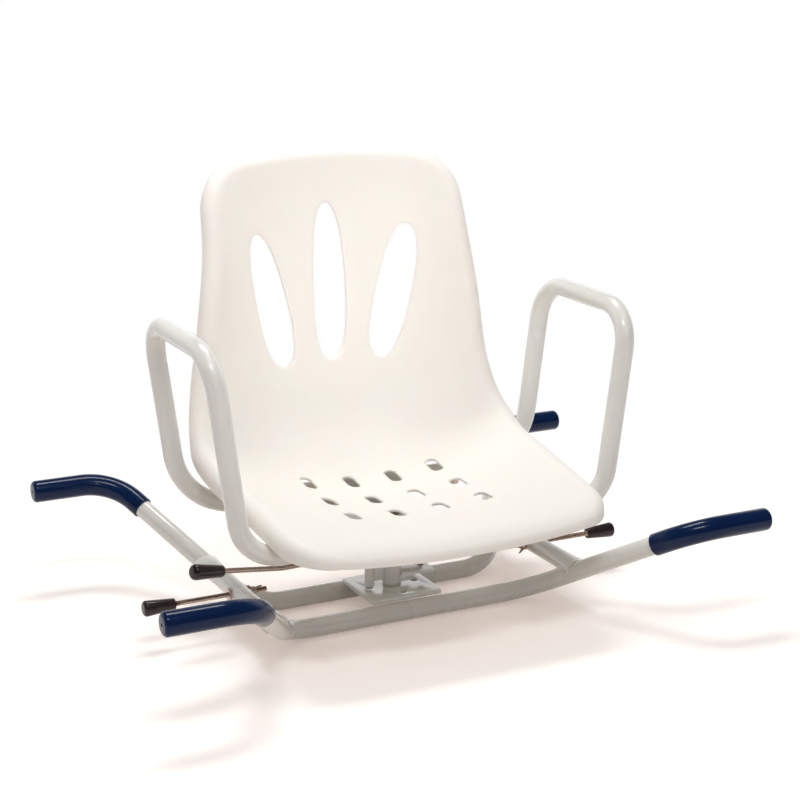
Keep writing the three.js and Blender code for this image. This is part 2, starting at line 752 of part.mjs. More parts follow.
// One sheet of the shell, outer or inner, as rings of points round the grid's edge
function shellSheet(grid, inset, rim_steps) {
  const positions = [];
  const faces = [];
  const put = (point) => {
    positions.push(point.x, point.y, point.z);
    return positions.length / 3 - 1;
  };
  const last_row = grid.length - 1;
  const last_column = grid[0].length - 1;
  const edge = [];
  for (let c = 0; c < last_column; c += 1) edge.push([0, c]);
  for (let r = 0; r < last_row; r += 1) edge.push([r, last_column]);
  for (let c = last_column; c > 0; c -= 1) edge.push([last_row, c]);
  for (let r = last_row; r > 0; r -= 1) edge.push([r, 0]);
  const surface = grid.map((row) => row.map(({ across, t }) => shellPoint(across, t)));
  const rims = edge.map(([r, c], k) => {
    const before = edge[(k + edge.length - 1) % edge.length];
    const after = edge[(k + 1) % edge.length];
    const { across, t } = grid[r][c];
    const normal = shellNormal(THREE.MathUtils.clamp(across, -1, 1), t);
    const along = surface[after[0]][after[1]].clone().sub(surface[before[0]][before[1]]).normalize();
    const outward = along.clone().cross(normal).normalize();
    const skirt_way = middleNormal(Math.max(t, crest_share)).negate();
    const turn = outward.angleTo(skirt_way);
    const inward = skirt_way.clone().addScaledVector(outward, -skirt_way.dot(outward)).normalize();
    const skirt = skirtAt(t);
    return { start: surface[r][c], outward, inward, turn, skirt_way, skirt };
  });
  const indices = grid.map((row, r) =>
    row.map(({ across, t }, c) => {
      const k = edge.findIndex(([er, ec]) => er === r && ec === c);
      if (k >= 0) return put(surface[r][c].clone().addScaledVector(rims[k].inward, inset));
      return put(surface[r][c].clone().addScaledVector(shellNormal(across, t), -inset));
    }),
  );
  for (let r = 0; r < last_row; r += 1) {
    for (let c = 0; c < last_column; c += 1) {
      const [a, b] = [indices[r][c], indices[r][c + 1]];
      const [d, e] = [indices[r + 1][c], indices[r + 1][c + 1]];
      faces.push([a, b, e], [a, e, d]);
    }
  }
  let ring = edge.map(([r, c]) => indices[r][c]);
  const radius = rim_radius - inset;
  for (let step = 1; step <= rim_steps + 1; step += 1) {
    const next = rims.map(({ start, outward, inward, turn, skirt_way, skirt }) => {
      const angle = (turn * Math.min(step, rim_steps)) / rim_steps;
      const point = start.clone().addScaledVector(inward, rim_radius);
      point.addScaledVector(outward, radius * Math.sin(angle));
      point.addScaledVector(inward, -radius * Math.cos(angle));
      if (step > rim_steps) point.addScaledVector(skirt_way, skirt);
      return put(point);
    });
    ring.forEach((a, k) => {
      const b = ring[(k + 1) % ring.length];
      const e = next[(k + 1) % ring.length];
      faces.push([a, next[k], e], [a, e, b]);
    });
    ring = next;
  }
  return { positions, faces, ring };
}

function shellSolid(straight_columns, corner_columns, row_count, rim_steps) {
  const grid = shellGrid(columnPlaces(straight_columns, corner_columns), row_count);
  const outer = shellSheet(grid, 0, rim_steps);
  const inner = shellSheet(grid, shell_thickness, rim_steps);
  const shift = outer.positions.length / 3;
  const faces = [...outer.faces];
  inner.faces.forEach(([a, b, c]) => faces.push([a + shift, c + shift, b + shift]));
  outer.ring.forEach((a, k) => {
    const b = outer.ring[(k + 1) % outer.ring.length];
    const d = inner.ring[k] + shift;
    const e = inner.ring[(k + 1) % outer.ring.length] + shift;
    faces.push([a, d, e], [a, e, b]);
  });
  const geometry = new THREE.BufferGeometry();
  const positions = new Float32Array([...outer.positions, ...inner.positions]);
  geometry.setAttribute('position', new THREE.BufferAttribute(positions, 3));
  geometry.setIndex(faces.flat());
  return geometry;
}

// A leaf-shaped slot, cut straight through the back along Y
function backSlot(x, height, length, width, lean) {
  const shape = new THREE.Shape();
  const belly = length * slot_belly_share;
  const half = width / 2;
  const top_half = half * slot_top_width_share;
  shape.moveTo(0, 0);
  shape.bezierCurveTo(half * 0.75, 0, half, belly * 0.4, half, belly);
  shape.bezierCurveTo(half, belly + length * 0.3, top_half, length, 0, length);
  shape.bezierCurveTo(-top_half, length, -half, belly + length * 0.3, -half, belly);
  shape.bezierCurveTo(-half, belly * 0.4, -half * 0.75, 0, 0, 0);
  const depth = seat_reach;
  const geometry = new THREE.ExtrudeGeometry(shape, { depth, bevelEnabled: false, curveSegments: 7 });
  geometry.translate(0, -length / 2, 0);
  geometry.rotateZ(-lean);
  geometry.rotateX(Math.PI / 2);
  return geometry.translate(x, seat_reach + depth / 2, height);
}

function drainSlot(x, y) {
  const shape = new THREE.Shape();
  const radius = drain_width / 2;
  const straight = drain_length / 2 - radius;
  shape.absarc(0, straight, radius, 0, Math.PI);
  shape.absarc(0, -straight, radius, Math.PI, 2 * Math.PI);
  return slab(shape, seat_height - side_rise, seat_height + side_rise, 5).translate(x, y, 0);
}

function seatShell() {
  const slots = [
    backSlot(0, seat_height + middle_slot_height, middle_slot_length, middle_slot_width, 0),
    backSlot(-side_slot_x, seat_height + side_slot_height, side_slot_length, side_slot_width, -side_slot_lean),
    backSlot(side_slot_x, seat_height + side_slot_height, side_slot_length, side_slot_width, side_slot_lean),
  ];
  for (let column = 0; column < drain_columns; column += 1) {
    for (let row = 0; row < drain_rows; row += 1) {
      const x = (column - (drain_columns - 1) / 2) * drain_pitch_x;
      const y = (row - (drain_rows - 1) / 2) * drain_pitch_y - drain_centre_y;
      slots.push(drainSlot(x, y));
    }
  }
  let geometry = cut(shellSolid(8, 4, 26, 4), ...slots);
  for (const [, x, y] of screw_places) {
    const surface = shellHeightAt(x, y);
    const boss = bar(boss_diameter, arm_run_height + tube_radius + touch_gap, surface - shell_thickness / 2, x, y, 16);
    const hole = bar(screw_diameter + 2 * hole_gap, arm_run_height, surface - boss_skin, x, y, 12);
    geometry = cut(join(geometry, boss), hole);
  }
  addPiece(seat, 'seat_shell', geometry, shell_plastic);
}

// The height of the sitting surface above a place on the seat
function shellHeightAt(x, y) {
  let t = 0.3;
  for (let k = 0; k < 24; k += 1) {
    const { x: half_width } = side_line.getPoint(t);
    const here = shellPoint(x / (half_width - rim_radius), t);
    t += (y - here.y) / (2 * line_length);
  }
  const { x: half_width } = side_line.getPoint(t);
  return shellPoint(x / (half_width - rim_radius), t).z;
}

function seatScrews() {
  const head_top = arm_run_height - tube_radius - 2 * touch_gap - screw_washer_thickness;
  for (const [corner, x, y] of screw_places) {
    const washer = sleeve(
      screw_washer_diameter, screw_diameter + 2 * hole_gap, head_top + touch_gap,
      head_top + touch_gap + screw_washer_thickness, x, y, 16,
    );
    addPiece(seat, `screw_washer_${corner}`, washer, bright_steel);
    const tip = shellHeightAt(x, y) - boss_skin - touch_gap;
    const head = bar(screw_head_diameter, head_top - screw_head_height, head_top, x, y, 16);
    const shank = bar(screw_diameter, head_top - screw_head_height / 2, tip, x, y, 12);
    addPiece(seat, `seat_screw_${corner}`, join(head, shank), bright_steel);
  }
}

seatShell();
seatScrews();

// Lock: a sprung pin in a housing beside the hub, lifted by a bent rod with a knob

const pin_x = -index_radius;
const housing_bottom = hub_bottom;
const housing_bore = housing_diameter - 2 * housing_wall;
const pin_bottom = plate_top + pin_ride;
const finger_height = leverHeightAtPin() + (lever_rod_diameter + finger_diameter) / 2 + touch_gap + pin_drop;
const collar_bottom = finger_height + finger_diameter / 2 + touch_gap;
const pin_top = collar_bottom + pin_collar_height;

function leverHeightAtPin() {
  const share = hub_diameter / 2 / (index_radius + hub_diameter);
  return THREE.MathUtils.lerp(lever_pass_height, lever_hook_height + touch_gap, share);
}

function pinHousing() {
  const tube = sleeve(housing_diameter, housing_bore, housing_bottom, housing_top, pin_x, 0, 20);
  const slot_width = finger_diameter + 4 * hole_gap;
  const slot_bottom = finger_height - pin_drop - finger_diameter / 2 - 2 * touch_gap;
  const slot_top = finger_height + pin_rise + finger_diameter / 2 + 2 * touch_gap;
  const slot = new THREE.BoxGeometry(slot_width, housing_diameter, slot_top - slot_bottom);
  slot.translate(pin_x, housing_diameter / 2, (slot_bottom + slot_top) / 2);
  addPiece(seat, 'pin_housing', cut(tube, slot), powder_coat);
  const cap = turned([
    [0, housing_top - housing_cap_height],
    [housing_bore / 2 - hole_gap, housing_top - housing_cap_height],
    [housing_bore / 2 - hole_gap, housing_top + touch_gap],
    [housing_diameter / 2, housing_top + touch_gap],
    [housing_diameter / 2, housing_top + touch_gap + screw_washer_thickness],
    [0, housing_top + touch_gap + screw_washer_thickness],
  ], 20);
  addPiece(seat, 'housing_cap', cap.translate(pin_x, 0, 0), bright_steel);
  const web = new THREE.BoxGeometry(index_radius, web_thickness, web_top - web_bottom);
  web.translate(pin_x / 2, 0, (web_top + web_bottom) / 2);
  const hub_space = bar(hub_diameter + 2 * touch_gap, web_bottom - cut_overrun, web_top + cut_overrun);
  const housing_space = bar(
    housing_diameter + 2 * touch_gap, web_bottom - cut_overrun, web_top + cut_overrun, pin_x, 0, 20,
  );
  addPiece(seat, 'housing_web', cut(web, hub_space, housing_space), powder_coat);
}

function lockPin() {
  const pin = turned([
    [0, pin_bottom],
    [pin_diameter / 2, pin_bottom],
    [pin_diameter / 2, collar_bottom],
    [pin_collar_diameter / 2, collar_bottom],
    [pin_collar_diameter / 2, pin_top],
    [0, pin_top],
  ], 16).translate(pin_x, 0, 0);
  const finger_hole = bar(finger_diameter + 2 * hole_gap, -pin_diameter, pin_diameter, 0, 0, 12);
  finger_hole.rotateX(Math.PI / 2).translate(pin_x, 0, finger_height);
  addPiece(seat, 'lock_pin', cut(pin, finger_hole), bright_steel);
  const finger = bar(finger_diameter, -pin_diameter / 2, finger_reach, 0, 0, 12);
  finger.rotateX(-Math.PI / 2).translate(pin_x, 0, finger_height);
  addPiece(seat, 'lock_finger', finger, bright_steel);
}

// The spring between the pin's collar and the housing's cap
class SpringAxis extends THREE.Curve {
  constructor(radius, bottom, top, turns) {
    super();
    Object.assign(this, { radius, bottom, top, turns });
  }

  getPoint(t) {
    const angle = 2 * Math.PI * this.turns * t;
    const height = THREE.MathUtils.lerp(this.bottom, this.top, t);
    return new THREE.Vector3(this.radius * Math.cos(angle), this.radius * Math.sin(angle), height);
  }
}

function lockSpring() {
  const radius = housing_bore / 2 - hole_gap - spring_wire / 2;
  const bottom = pin_top + touch_gap + spring_wire / 2;
  const top = housing_top - housing_cap_height - touch_gap - spring_wire / 2;
  const axis = new SpringAxis(radius, bottom, top, spring_turns);
  const section = flatSided(THREE.Shape, spring_wire, 5);
  const spring = new THREE.ExtrudeGeometry(section, {
    steps: 8 * spring_turns, extrudePath: axis, bevelEnabled: false,
  });
  addPiece(seat, 'lock_spring', spring.translate(pin_x, 0, 0), bright_steel);
}

const tab_top = lever_hook_height - hook_bend_radius - touch_gap;

function leverTab() {
  const root = hub_diameter / 2 - tab_thickness; // the tab's edge is coped round the hub from here
  const tab = new THREE.BoxGeometry(tab_reach - root, tab_width, tab_thickness);
  tab.translate((tab_reach + root) / 2, 0, tab_top - tab_thickness / 2);
  const [low, high] = [tab_top - tab_thickness - cut_overrun, tab_top + cut_overrun];
  const hub_space = bar(hub_diameter + 2 * touch_gap, low, high);
  const hole = bar(lever_rod_diameter + 6 * hole_gap, low, high, hook_x, hook_y, 16);
  addPiece(seat, 'lever_tab', cut(tab, hub_space, hole), powder_coat);
}

function lever() {
  const corners = [
    new THREE.Vector3(-lever_end_x + knob_length - knob_socket_depth, -lever_end_y, lever_end_height),
    new THREE.Vector3(-lever_bend_x, 0, lever_bend_height),
    new THREE.Vector3(-lever_inner_x, lever_inner_y, lever_inner_height),
    new THREE.Vector3(-index_radius - hub_diameter / 2, lever_pass_y, lever_pass_height),
    new THREE.Vector3(hub_diameter / 2, lever_pass_y, lever_hook_height + touch_gap),
    new THREE.Vector3(hook_x, hook_y, lever_hook_height),
    new THREE.Vector3(hook_x, hook_y, lever_hook_height - hook_drop),
  ];
  const radii = [lever_bend_radius, lever_bend_radius, lever_bend_radius, lever_bend_radius, hook_bend_radius];
  const axis = new BentAxis(corners, radii, 4);
  addPiece(seat, 'lever_rod', tubeAlong(axis, lever_rod_diameter, 0, 10), bright_steel);

  const way = corners[0].clone().sub(corners[1]).normalize();
  const socket = lever_rod_diameter / 2 + hole_gap;
  const profile = [
    [0, knob_socket_depth + touch_gap],
    [socket, knob_socket_depth + touch_gap],
    [socket, 0],
    [knob_root_diameter / 2, 0],
  ];
  const edge_steps = 4;
  for (let k = 0; k <= edge_steps; k += 1) {
    const angle = (k / edge_steps) * (Math.PI / 2);
    profile.push([
      knob_diameter / 2 - knob_edge_radius * (1 - Math.cos(angle)),
      knob_length - knob_edge_radius * (1 - Math.sin(angle)),
    ]);
  }
  profile.push([0, knob_length]);
  const knob = addPiece(seat, 'lever_knob', turned(profile, 16), black_plastic);
  knob.quaternion.setFromUnitVectors(new THREE.Vector3(0, 0, 1), way);
  knob.position.copy(corners[0]).addScaledVector(way, -knob_socket_depth);

  const clip_top = tab_top - tab_thickness - clip_play;
  const clip = sleeve(clip_diameter, lever_rod_diameter + 2 * hole_gap, clip_top - clip_thickness, clip_top, hook_x, hook_y, 16);
  addPiece(seat, 'lever_clip', clip, bright_steel);
}

pinHousing();
lockPin();
lockSpring();
leverTab();
lever();

export default bathSeat;
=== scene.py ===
"""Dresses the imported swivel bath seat: a moulded seat on armrest tubes, turning on a bent tube base."""

import logging
import math
from collections.abc import Callable, Sequence
from contextlib import contextmanager
from dataclasses import dataclass, field
from enum import Enum

import bmesh
import bpy
from mathutils import Matrix, Vector


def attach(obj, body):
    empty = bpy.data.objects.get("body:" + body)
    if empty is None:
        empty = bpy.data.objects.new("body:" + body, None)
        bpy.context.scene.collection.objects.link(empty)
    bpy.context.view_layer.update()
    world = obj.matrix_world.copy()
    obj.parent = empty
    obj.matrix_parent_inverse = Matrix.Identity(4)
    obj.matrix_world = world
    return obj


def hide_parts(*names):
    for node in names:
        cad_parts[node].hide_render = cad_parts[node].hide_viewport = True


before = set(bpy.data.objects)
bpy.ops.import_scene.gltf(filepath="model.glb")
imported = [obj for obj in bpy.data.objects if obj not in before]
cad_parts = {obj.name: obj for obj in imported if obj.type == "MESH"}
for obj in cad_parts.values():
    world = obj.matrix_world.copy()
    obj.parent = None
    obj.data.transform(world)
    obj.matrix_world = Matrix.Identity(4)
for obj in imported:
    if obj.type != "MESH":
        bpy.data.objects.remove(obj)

log = logging.getLogger("bath_seat")

MM = 0.001
SMOOTH_ANGLE = math.radians(35)
SUBSURFACE_DEPTH = 4 * MM

Piece = bpy.types.Object
Tree = bpy.types.NodeTree
Socket = bpy.types.NodeSocket
Colour = tuple[float, float, float]


class Place(Enum):
    """A side or an end of the object."""

    @property
    def word(self) -> str:
        """The place's name, as the pieces' names have it."""
        return self.name.lower()


class Side(Place):
    """Left is at -X, right is at +X."""

    LEFT = -1
    RIGHT = 1


class End(Place):
    """Front is at -Y, rear is at +Y."""

    FRONT = -1
    REAR = 1


# Modelling with Blender's own operators


def select_nothing() -> None:
    """Deselects every object."""
    bpy.ops.object.select_all(action="DESELECT")


def make_active(piece: Piece) -> None:
    """Selects one object alone and makes it the active one."""
    select_nothing()
    piece.select_set(True)
    bpy.context.view_layer.objects.active = piece


@contextmanager
def editing(piece: Piece):
    """Opens a piece in edit mode for the operators in the block.

    Args:
        piece: the mesh object to edit.
    """
    make_active(piece)
    bpy.ops.object.mode_set(mode="EDIT")
    bpy.ops.mesh.select_mode(type="VERT")
    try:
        yield piece
    finally:
        bpy.ops.object.mode_set(mode="OBJECT")


def settle(piece: Piece, name: str) -> Piece:
    """Names a piece and puts its place into its mesh, so that its object sits at the origin.

    Args:
        piece: the new object.
        name: the piece's name.

    Returns:
        The same object.
    """
    piece.name = name
    piece.data.name = name
    make_active(piece)
    bpy.ops.object.transform_apply(location=True, rotation=True, scale=True)
    return piece


def select_only(piece: Piece, kind: str, chosen: Callable[[Vector, Vector], bool]) -> None:
    """Selects the wanted faces or edges of a piece in edit mode, and nothing else.

    Args:
        piece: the object in edit mode.
        kind: FACE or EDGE.
        chosen: tells from a face's middle and normal, or an edge's two ends, whether it is wanted.
    """
    bpy.ops.mesh.select_mode(type=kind)
    bpy.ops.mesh.select_all(action="DESELECT")
    mesh = bmesh.from_edit_mesh(piece.data)
    if kind == "FACE":
        for face in mesh.faces:
            face.select_set(chosen(face.calc_center_median(), face.normal))
    else:
        for edge in mesh.edges:
            edge.select_set(chosen(edge.verts[0].co, edge.verts[1].co))
    mesh.select_flush_mode()
    bmesh.update_edit_mesh(piece.data)


def flat_end(at: Vector, facing: Vector) -> Callable[[Vector, Vector], bool]:
    """Picks out, for select_only, the flat face round a point that faces a direction."""
    return lambda middle, normal: normal.dot(facing) > 0.99 and (middle - at).length < MM


def smooth(piece: Piece, angle: float = SMOOTH_ANGLE) -> None:
    """Shades a piece smooth, apart from edges sharper than an angle."""
    make_active(piece)
    bpy.ops.object.shade_smooth_by_angle(angle=angle)


def apply_modifier(piece: Piece, kind: str, **settings: object) -> None:
    """Adds a modifier to a piece, sets its properties and applies it."""
    make_active(piece)
    modifier = piece.modifiers.new(kind.title(), kind)
    for label, value in settings.items():
        setattr(modifier, label, value)
    bpy.ops.object.modifier_apply(modifier=modifier.name)


def round_edges(piece: Piece, width: float, segments: int = 3, angle: float = 40) -> None:
    """Bevels the sharp edges of a piece.

    Args:
        piece: the object.
        width: the bevel's width in metres.
        segments: how many faces the bevel has across.
        angle: the least angle of a bevelled edge, in degrees.
    """
    limit = math.radians(angle)
    apply_modifier(piece, "BEVEL", width=width, segments=segments, limit_method="ANGLE", angle_limit=limit)


def cut_away(piece: Piece, tool: Piece, operation: str = "DIFFERENCE") -> None:
    """Cuts a tool's shape out of a piece, or adds it, and deletes the tool.

    Args:
        piece: the piece to change.
        tool: the shape to cut out or add.
        operation: DIFFERENCE to cut it out or UNION to add it.
    """
    apply_modifier(piece, "BOOLEAN", operation=operation, solver="EXACT", object=tool)
    bpy.data.objects.remove(tool)


def join_pieces(pieces: Sequence[Piece]) -> Piece:
    """Joins several pieces into the first one."""
    select_nothing()
    for piece in pieces:
        piece.select_set(True)
    bpy.context.view_layer.objects.active = pieces[0]
    bpy.ops.object.join()
    return pieces[0]


def copied(piece: Piece, name: str, change: Matrix) -> Piece:
    """Copies a piece with a mesh of its own and moves, turns or mirrors the mesh.

    Args:
        piece: the piece to copy.
        name: the copy's name.
        change: what to do with the copy's mesh.

    Returns:
        The copy.
    """
    copy = piece.copy()
    copy.data = piece.data.copy()
    copy.name = name
    copy.data.name = name
    bpy.context.scene.collection.objects.link(copy)
    copy.data.transform(change)
    if change.determinant() < 0:
        with editing(copy):
            bpy.ops.mesh.select_all(action="SELECT")
            bpy.ops.mesh.flip_normals()
    return copy


def ring_at(centre: Vector, direction: Vector, radius: float, sides: int, name: str) -> Piece:
    """Adds an open ring square to a direction.

    Args:
        centre: the ring's middle.
        direction: the way the ring faces.
        radius: the ring's radius.
        sides: how many points it has.
        name: the new piece's name.

    Returns:
        The ring, with its place in its mesh.
    """
    select_nothing()
    turn = direction.to_track_quat("Z", "Y").to_euler()
    bpy.ops.mesh.primitive_circle_add(
        vertices=sides, radius=radius, fill_type="NOTHING", location=centre, rotation=turn
    )
    return settle(bpy.context.object, name)


def close_ends(piece: Piece) -> None:
    """Fills the open ends of a piece in edit mode and turns all its faces outwards."""
    bpy.ops.mesh.select_all(action="SELECT")
    bpy.ops.mesh.fill_holes(sides=0)
    bpy.ops.mesh.normals_make_consistent(inside=False)


def extrude_by(move: Vector) -> None:
    """Extrudes what is selected in edit mode and moves it."""
    bpy.ops.mesh.extrude_region_move(TRANSFORM_OT_translate={"value": move})


def extrude_profile(base: Vector, way: Vector, profile: Sequence[tuple[float, float]]) -> None:
    """Extrudes the selected ring from place to place along an axis, scaling it to each radius.

    Args:
        base: where the axis starts.
        way: the axis's direction, of length 1.
        profile: (radius, place along the axis) of each ring. The selected ring is the first.
    """
    radius, place = profile[0]
    for new_radius, new_place in profile[1:]:
        extrude_by(way * (new_place - place))
        share = new_radius / radius
        bpy.ops.transform.resize(value=(share, share, share), center_override=base + way * new_place)
        radius, place = new_radius, new_place


@dataclass(frozen=True)
class BentBar:
    """A round bar or tube that runs straight between corners and bends round them.

    Attributes:
        corners: the corners of the bar's axis, its two ends among them.
        radii: the bend radius at each corner between the ends.
        diameter: the bar's diameter.
        sides: how many faces it has round.
        steps_per_turn: how many rings a full turn would have.
    """

    corners: tuple[Vector, ...]
    radii: tuple[float, ...]
    diameter: float
    sides: int = 40
    steps_per_turn: int = 56

    def build(self, name: str) -> Piece:
        """Extrudes and spins a ring along the axis and closes both ends.

        Args:
            name: the new piece's name.

        Returns:
            The bar as one closed mesh.
        """
        way = (self.corners[1] - self.corners[0]).normalized()
        here = self.corners[0].copy()
        piece = ring_at(here, way, self.diameter / 2, self.sides, name)
        with editing(piece):
            bpy.ops.mesh.select_all(action="SELECT")
            for corner, following, radius in zip(self.corners[1:], self.corners[2:], self.radii):
                after = (following - corner).normalized()
                turn = way.angle(after)
                cut_back = radius * math.tan(turn / 2)
                start = corner - way * cut_back
                extrude_by(start - here)
                inward = (after - way * after.dot(way)).normalized()
                bpy.ops.mesh.spin(
                    steps=max(3, round(turn / math.tau * self.steps_per_turn)),
                    dupli=False,
                    angle=turn,
                    center=start + inward * radius,
                    axis=after.cross(way).normalized(),
                )
                here = corner + after * cut_back
                way = after
            extrude_by(self.corners[-1] - here)
            close_ends(piece)
        return piece


@dataclass(frozen=True)
class TurnedPiece:
    """A piece turned about an axis, from radii and places along it.

    Attributes:
        base: where the axis starts.
        way: the axis's direction.
        profile: (radius, place along the axis) of each ring, from one end round to the other.
        sides: how many faces it has round.
        closed_ring: whether the last ring meets the first, as in a sleeve.
    """

    base: Vector
    way: Vector
    profile: tuple[tuple[float, float], ...]
    sides: int = 32
    closed_ring: bool = False

    def build(self, name: str) -> Piece:
        """Extrudes a ring from place to place, scaling it to each radius.

        Args:
            name: the new piece's name.

        Returns:
            The piece as one closed mesh.
        """
        way = self.way.normalized()
        radius, place = self.profile[0]
        piece = ring_at(self.base + way * place, way, radius, self.sides, name)
        with editing(piece):
            bpy.ops.mesh.select_all(action="SELECT")
            extrude_profile(self.base, way, self.profile)
            if self.closed_ring:
                bpy.ops.mesh.select_all(action="SELECT")
                bpy.ops.mesh.remove_doubles(threshold=1e-5)
                bpy.ops.mesh.normals_make_consistent(inside=False)
            else:
                close_ends(piece)
        return piece


def sleeve_profile(radius: float, bore: float, low: float, high: float, chamfer: float) -> tuple:
    """The profile of a sleeve with softened outer edges, as TurnedPiece takes it."""
    return (
        (bore, low),
        (radius - chamfer, low),
        (radius - chamfer * 0.3, low + chamfer * 0.3),
        (radius, low + chamfer),
        (radius, high - chamfer),
        (radius - chamfer * 0.3, high - chamfer * 0.3),
        (radius - chamfer, high),
        (bore, high),
        (bore, low),
    )


def domed_end(radius: float, edge: float, end: float) -> list[tuple[float, float]]:
    """The rounded end of a turned piece, as TurnedPiece takes it.

    Args:
        radius: the piece's radius.
        edge: the radius of the rounding.
        end: the place of the flat end along the axis.

    Returns:
        The (radius, place) of nine rings round the edge.
    """
    angles = [k * math.pi / 16 for k in range(9)]
    return [(radius - edge * (1 - math.cos(a)), end - edge * (1 - math.sin(a))) for a in angles]


# Finishes


def new_group(name: str, inputs: dict[str, float], outputs: Sequence[str]) -> Tree:
    """Makes an empty shader node group with float inputs and named outputs.

    Args:
        name: the group's name.
        inputs: each input's name and its usual value.
        outputs: the outputs' names. A name that ends in Normal is a vector.

    Returns:
        The group, with its input and output nodes in place.
    """
    group = bpy.data.node_groups.new(name, "ShaderNodeTree")
    for label, value in inputs.items():
        socket = group.interface.new_socket(label, in_out="INPUT", socket_type="NodeSocketFloat")
        socket.default_value = value
    for label in outputs:
        kind = "NodeSocketVector" if label.endswith("Normal") else "NodeSocketFloat"
        group.interface.new_socket(label, in_out="OUTPUT", socket_type=kind)
    group.nodes.new("NodeGroupInput")
    group.nodes.new("NodeGroupOutput")
    return group


def feed(node: bpy.types.Node, **settings: object) -> None:
    """Sets a node's properties and inputs by name, or links sockets to its inputs.

    Args:
        node: the node.
        settings: values or sockets. A name has _ for each space of the input's name.
    """
    for label, value in settings.items():
        name = label.replace("_", " ")
        if hasattr(node, label):
            setattr(node, label, value)
        elif isinstance(value, Socket):
            node.id_data.links.new(value, node.inputs[name])
        else:
            node.inputs[name].default_value = value


def add_node(tree: Tree, kind: str, **settings: object) -> bpy.types.Node:
    """Adds a shader node, named by its kind without the ShaderNode in front, and feeds it."""
    node = tree.nodes.new(f"ShaderNode{kind}")
    feed(node, **settings)
    return node


def joined(
    tree: Tree, kind: str, *sockets: Socket, **settings: object
) -> Socket:
    """Adds a node with sockets linked to its inputs in order, and returns its first output."""
    node = add_node(tree, kind, **settings)
    for place, socket in zip(node.inputs, sockets):
        tree.links.new(socket, place)
    return node.outputs[0]


def smooth_ramp(
    tree: Tree, value: Socket, start: float, end: float
) -> Socket:
    """Returns a socket that goes smoothly from 0 to 1 as a value goes from start to end."""
    kind = "MapRange"
    return joined(tree, kind, value, interpolation_type="SMOOTHSTEP", From_Min=start, From_Max=end)


def grain_group() -> Tree:
    """Fine surface grain with slow drift, as a normal and a tone, for coats and mouldings.

    Returns:
        The group. Scale and Drift Scale are per metre, Depth is the grain's strength.
    """
    group = new_group(
        "Surface grain",
        {"Scale": 900.0, "Depth": 0.1, "Drift Scale": 14.0, "Waviness": 0.05},
        ["Normal", "Tone"],
    )
    source = group.nodes["Group Input"].outputs
    place = add_node(group, "TexCoord").outputs["Object"]
    kind = "TexNoise"
    fine = joined(group, kind, place, Scale=source["Scale"], Detail=3.0, Roughness=0.55)
    drift = joined(group, kind, place, Scale=source["Drift Scale"], Detail=2.0, Roughness=0.5)
    wave = joined(group, kind, place, Scale=55.0, Detail=1.0)
    kind = "Bump"
    large = joined(group, kind, Distance=0.001, Strength=source["Waviness"], Height=wave)
    small = joined(group, kind, Distance=0.0002, Strength=source["Depth"], Height=fine, Normal=large)
    feed(group.nodes["Group Output"], Normal=small, Tone=drift)
    return group


def wear_group() -> Tree:
    """A mask of edges and hollows, where a coat thins and dust gathers.

    Returns:
        The group. Amount scales both masks, and Break Up Scale, per metre, breaks up the edges.
    """
    group = new_group("Edge wear", {"Amount": 0.5, "Break Up Scale": 60.0}, ["Edge", "Dust"])
    source = group.nodes["Group Input"].outputs
    place = add_node(group, "TexCoord").outputs["Object"]
    form = add_node(group, "NewGeometry").outputs["Pointiness"]
    noise = joined(group, "TexNoise", place, Scale=source["Break Up Scale"], Detail=4.0)
    ridge = joined(group, "MapRange", form, From_Min=0.52, From_Max=0.62)
    hollow = joined(group, "MapRange", form, From_Min=0.5, From_Max=0.4)
    broken = joined(group, "Math", ridge, noise, operation="MULTIPLY")
    edge, dust = (
        joined(group, "Math", mask, source["Amount"], operation="MULTIPLY", use_clamp=True)
        for mask in (broken, hollow)
    )
    feed(group.nodes["Group Output"], Edge=edge, Dust=dust)
    return group


def linear(red: int, green: int, blue: int) -> Colour:
    """Turns a colour as a screen shows it, 0 to 255, into the linear values that shaders use."""

    def channel(value: int) -> float:
        share = value / 255
        return share / 12.92 if share <= 0.04045 else ((share + 0.055) / 1.055) ** 2.4

    return (channel(red), channel(green), channel(blue))


